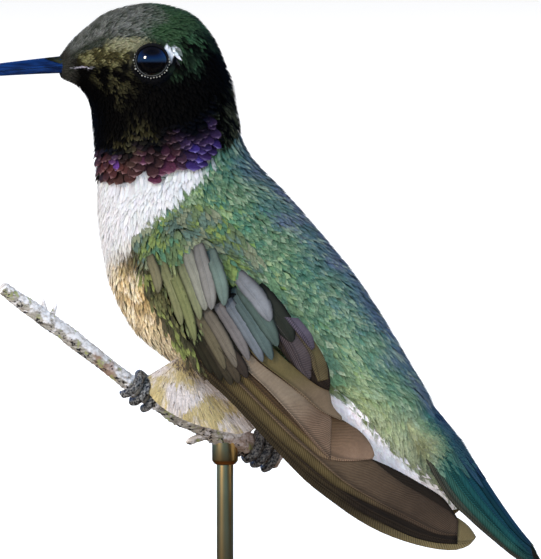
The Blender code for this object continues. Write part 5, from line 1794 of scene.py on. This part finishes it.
bark, shader, wire = finish("bark", Roughness=0.9, Specular_IOR_Level=0.15)
where = wire.place()
lean = (0, 0.52, -0.507)
streak = where.stretched((300.0, 3000.0, 3000.0), lean).noise(1.0, 4.0, 0.65)
spot_noise = where.noise(1900.0, 4.0, 0.62)
patch_noise = where.noise(520.0, 2.0)
lichen_noise = where.noise(900.0, 3.0, 0.6)
at_x, _, _ = where.parts()
# Where the normal points down, the bark is painted browner and more speckled: painted shade on the underside.
underside = wire.add("ShaderNodeNewGeometry", None, None, 1).parts()[2] * -0.13
ground = streak.rise(0.28, 0.60).between(rgb(160, 148, 138), rgb(226, 219, 216))
brown_bark_and_shade = (lichen_noise + underside * 1.5).rise(0.50, 0.60)
ground = (0.75 * brown_bark_and_shade).between(ground, streak.rise(0.35, 0.6).between(rgb(92, 82, 66), rgb(150, 140, 120)))
worn = at_x.rise(-0.0128, -0.0121) * (1 - at_x.rise(-0.0108, -0.0101))
ground = ((0.7 * worn + 0.5 * at_x.rise(-0.004, 0.001)) * patch_noise.rise(0.40, 0.52)).between(
    ground, rgb(138, 100, 74))
mossy = 0.08 * at_x.rise(-0.0076, -0.0068) * (1 - at_x.rise(-0.0050, -0.0042))
ground = (0.8 * (lichen_noise + mossy).rise(0.60, 0.66)).between(ground, rgb(150, 152, 96))
# Dark specks, with more of them on the underside as painted shade.
ground = (spot_noise + underside).rise(0.62, 0.70).between(ground, rgb(38, 34, 32))
feed(ground, shader, "Base Color")
feed(bump(wire, streak + spot_noise * 0.5, 0.8, 0.0001), shader, "Normal")
shown(twig, bark, ("perch_twig",))

# %% [markdown]
# ## The feet
# Three toes close over the near side of the twig and the hind toe over the far side. The
# skin is black and scaly: each toe has raised rings, which are ripples in its radius, and
# ends in a thin curved claw. The bare shank above is short and pinkish grey.

# %% Feet
FOOT_X = {"left": -8.2, "right": 3.3}
ANKLES = {"left": (-5.4, -4.4, 30.6), "right": (2.4, 2.6, 27.2)}
TOE_RADIUS, TOE_SPACING, SHANK_RADIUS = 0.47, 0.80, 0.36
CLAW_STARTS, CLAW_LENGTH = 0.80, 0.20


def twig_frame(x):
    """Centre, radius and three unit directions at a place on the twig: along, up and near."""
    def spot(at):
        return np.array([at, TWIG_DEPTH_SLOPE * at, np.interp(at, fine[:, 0], fine[:, 1])])
    along = unit(spot(x + 0.4) - spot(x - 0.4))
    up = unit(np.array([0, 0, 1.0]) - along[2] * along)
    return spot(x), float(np.interp(x, fine[:, 0], fine[:, 2])), along, up, np.cross(along, up)


scaly, shader, wire = finish("scaly_skin", Roughness=0.42, Specular_IOR_Level=0.5)
where = wire.place()
grain = where.noise(5000.0, 3.0)
scute = where.noise(1800.0, 1.0)
tone = grain.rise(0.38, 0.68).between(rgb(14, 13, 13), rgb(128, 124, 118))
feed(tone.tinted(0.6 + 0.8 * scute), shader, "Base Color")
feed(0.32 + 0.25 * grain, shader, "Roughness")
feed(bump(wire, grain, 0.5, 0.00005), shader, "Normal")
shank_skin, shader, wire = finish("shank_skin", Roughness=0.55, Specular_IOR_Level=0.35)
where = wire.place()
grain = where.noise(3500.0, 3.0)
feed(grain.rise(0.3, 0.7).between(rgb(120, 92, 80), rgb(178, 146, 128)), shader, "Base Color")
feed(bump(wire, grain, 0.5, 0.00005), shader, "Normal")

for side, x in FOOT_X.items():
    pieces = []
    centre, radius, along, up, _ = twig_frame(x)
    crown = centre + (radius + TOE_RADIUS * 0.8) * up
    for shift, stop in ((-1, 3.7), (0, 4.0), (1, 3.8), (0.2, -2.4)):
        spot, thick, _, toe_up, toe_near = twig_frame(x + TOE_SPACING * shift)
        share = np.linspace(0, 1, 56)
        angle = share * stop
        reach = thick + TOE_RADIUS * 0.85 + 0.10 * np.sin(share * pi)
        arc = spot + reach[:, None] * (np.cos(angle)[:, None] * toe_up + np.sin(angle)[:, None] * toe_near)
        arc += 0.25 * shift * (share**2)[:, None] * along
        arc[:6] = crown + (arc[6] - crown) * (np.arange(6) / 6)[:, None]
        rings = 0.92 + 0.16 * np.abs(np.sin(share * 8 * pi)) ** 0.5
        pad = 1 - 0.25 * share
        radii = TOE_RADIUS * rings * pad
        claw = share > CLAW_STARTS
        fade = (share[claw] - CLAW_STARTS) / CLAW_LENGTH
        radii[claw] = TOE_RADIUS * 0.62 * (1 - fade) ** 0.8 + 0.03
        pieces.append(from_grid("toe", tube_rings(arc, radii, 14), True))
    foot = joined(f"toes_{side}", pieces)
    shown(foot, scaly, (f"foot_{side}",))
    ankle = np.array(ANKLES[side])
    share = np.linspace(0, 1, 30)[:, None]
    line = crown * (1 - share) + ankle * share
    radii = SHANK_RADIUS * (1 + 0.07 * np.abs(np.sin(share[:, 0] * 7 * pi)) + 0.15 * (1 - share[:, 0]))
    shank = from_grid(f"shank_{side}", tube_rings(line, radii, 16), True)
    shown(shank, shank_skin)

# %% [markdown]
# ## The leg tufts
# Each leg wears a fan of long loose down that spreads over the twig. From the camera's side
# it hides the shank. A small cream form gives the fan its body, and wisps of down lie over
# it from the top to well past its foot.

# %% Leg tufts
# apex and edge of each fan, the edge from the bird's front to its back, and how far it bulges
FANS = {
    "left": ((-4.2, -4.7, 33.0), [(-7.5, -4.9, 30.9), (-7.2, -5.4, 29.4), (-5.6, -5.8, 27.9),
             (-3.2, -5.9, 26.7), (-0.8, -5.6, 26.0), (1.5, -5.0, 25.6), (3.4, -4.2, 26.2)], -1.2, 1700),
    "right": ((-1.0, 2.0, 28.8), [(-1.8, 2.6, 26.6), (-0.8, 2.9, 25.6), (0.6, 3.0, 25.0),
              (2.0, 2.8, 24.9), (3.0, 2.4, 25.8)], 0.9, 700)}
FAN_ROWS, FAN_COLUMNS = 31, 41
for side, (apex, rim, bulge, size) in FANS.items():
    rim = through(rim, np.linspace(0, len(rim) - 1, FAN_COLUMNS))
    out = np.linspace(0.06, 1, FAN_ROWS)[:, None, None]
    sheet_points = np.array(apex) * (1 - out) + rim[None] * out
    dome = np.sin(pi * np.linspace(0.12, 0.88, FAN_COLUMNS))[None, :] * np.sin(pi * out[..., 0] ** 0.8 * 0.8)
    sheet_points[..., 1] += bulge * dome
    hidden = sheet_points[:, ::-1].copy()
    hidden[..., 1] -= 0.5 * bulge + 1.4 * bulge * dome[:, ::-1]
    inner = np.concatenate([sheet_points, hidden], axis=1)
    middle = inner.mean(axis=1, keepdims=True)
    form = from_grid(f"leg_form_{side}", middle + (inner - middle) * 0.76, wraps=True)
    draw = np.random.default_rng(600 + len(side))
    start = np.sort(draw.uniform(0, 1, size) ** 0.8)[::-1]
    row, column = start * (FAN_ROWS - 4), draw.uniform(0, FAN_COLUMNS - 1, size)
    laid = []
    for face in (sheet_points, hidden):
        mine = slice(0, size) if face is sheet_points else slice(0, size, 2)
        sheet = Surface(face if side == "left" else face[:, ::-1], False)
        count = len(row[mine])
        laid.append(lay(sheet, DOWN, row[mine], column[mine], draw.uniform(1.6, 3.0, count),
                        draw.uniform(0.3, 0.7, count), draw.normal(0, 0.07, count), np.full(count, -0.10),
                        draw.uniform(0.05, 0.40, count), draw.normal(0, 0.15, count)))
    laid, start = np.concatenate(laid), np.concatenate([start, start[::2]])
    size = len(laid)
    base = np.tile(rgb(226, 212, 204), (size, 1))
    buff = np.clip(1.2 * mottle(laid[:, 0], 1.8, 620) + 0.5 * (start > 0.3), 0, 1)[:, None]
    buff = buff if side == "left" else 0.4 * buff
    base = base * (1 - buff) + np.array(rgb(204, 182, 130)) * buff
    dusky = (draw.random(size) < 0.03 + 0.45 * (start < 0.22))[:, None]
    base = np.where(dusky, np.array(rgb(124, 108, 94)), base) * draw.uniform(0.8, 1.12, (size, 1))
    tuft = feather_piece(f"leg_tuft_{side}", DOWN, laid, base, base * 1.15, np.zeros(size),
                         bake_map(*nearest_on_body(laid[:, 0])), root_shade=0.8)
    one_colour(form.data, rgb(196, 178, 158))
    shown(form, skin_finish, (f"thigh_{side}",))
    shown(tuft, downy)

# %% [markdown]
# ## The display stand
# A museum would hold such a model on a turned hardwood base and a thin brass rod. The base
# starts as a cylinder: its top face is inset and stepped to make a shallow ring, and a Bevel
# modifier softens the edges. Rod, ferrule and collar are brushed brass.


# %% Stand
def stepped(obj, way, steps):
    """Steps a cylinder's end, the top for way 1 or the bottom for -1: insets and rises."""
    bpy.ops.object.mode_set(mode="EDIT")
    bpy.ops.mesh.select_mode(type="FACE")
    bpy.ops.object.mode_set(mode="OBJECT")
    for face in obj.data.polygons:
        face.select = way * face.normal.z > 0.9
    bpy.ops.object.mode_set(mode="EDIT")
    for inward, rise_by in steps:
        bpy.ops.mesh.inset(thickness=inward * MM, depth=0)
        bpy.ops.transform.translate(value=(0, 0, rise_by * MM))
    bpy.ops.object.mode_set(mode="OBJECT")


def cylinder(name, radius, low, high, sides):
    bpy.ops.object.select_all(action="DESELECT")
    bpy.ops.mesh.primitive_cylinder_add(vertices=sides, radius=radius * MM, depth=(high - low) * MM,
                                        location=(0, 0, (low + high) / 2 * MM))
    bpy.ops.object.transform_apply(location=True, rotation=True, scale=True)
    obj = bpy.context.object
    obj.name = obj.data.name = name
    return obj


def softened(obj, width, segments=3):
    edge_round = obj.modifiers.new("Edges", "BEVEL")
    edge_round.width, edge_round.segments, edge_round.limit_method = width * MM, segments, "ANGLE"
    bpy.ops.object.modifier_apply(modifier=edge_round.name)
    bpy.ops.object.shade_smooth_by_angle(angle=radians(30))
    return obj


BASE_RADIUS, BASE_HEIGHT = 25.0, 5.0
base = cylinder("stand_base_wood", BASE_RADIUS, 0, BASE_HEIGHT, 128)
stepped(base, 1, ((2.2, 0.0), (0.5, -0.45), (0.9, 0.0), (0.5, 0.45)))
stepped(base, -1, ((1.2, 0.0), (0.8, 0.3)))
softened(base, 0.35, 4)

hardwood, shader, wire = finish("oiled_hardwood", Roughness=0.5, Specular_IOR_Level=0.1)
where = wire.place()
_, y, z = where.stretched((30.0, 900.0, 900.0)).parts()
bend = where.stretched((25.0, 120.0, 120.0)).noise(1.0, 3.0)
ring_phase = (y + z * 0.3 + bend * 14.0) * 3.0
ring = ring_phase.maths("SINE", ring_phase) * 0.5 + 0.5
pores = where.stretched((500.0, 9000.0, 9000.0)).noise(1.0, 3.0)
grain_colour = ring.between(rgb(66, 40, 26), rgb(88, 54, 34))
grain_colour = (0.8 * pores.rise(0.55, 0.7)).between(grain_colour, rgb(32, 18, 12))
feed(grain_colour, shader, "Base Color")
feed(0.42 + 0.2 * pores, shader, "Roughness")
feed(bump(wire, pores, 0.2, 0.00005), shader, "Normal")
shown(base, hardwood, ("stand_base",))

brass, shader, wire = finish("brushed_brass", Metallic=1.0, Roughness=0.42)
where = wire.place()
brushed = where.stretched((1500.0, 1500.0, 60.0)).noise(1.0, 4.0)
cloud = where.noise(150.0, 2.0)
feed(cloud.rise(0.3, 0.7).between(rgb(200, 160, 92), rgb(224, 186, 112)), shader, "Base Color")
feed(0.22 + 0.22 * brushed, shader, "Roughness")
feed(bump(wire, brushed, 0.12, 0.00003), shader, "Normal")
rod = cylinder("stand_rod_brass", 0.8, BASE_HEIGHT - 0.2, 23.2, 48)
softened(rod, 0.1)
ferrule = cylinder("stand_ferrule", 2.0, BASE_HEIGHT - 0.1, BASE_HEIGHT + 1.3, 64)
stepped(ferrule, 1, ((0.5, 0.5),))
softened(ferrule, 0.12)
rod = joined("stand_rod_brass", [rod, ferrule])
shown(rod, brass, ("stand_rod",))
collar = cylinder("stand_collar_brass", 1.25, 22.6, 24.7, 48)
stepped(collar, -1, ((0.3, -0.35),))
softened(collar, 0.12)
shown(collar, brass, ("stand_collar",))
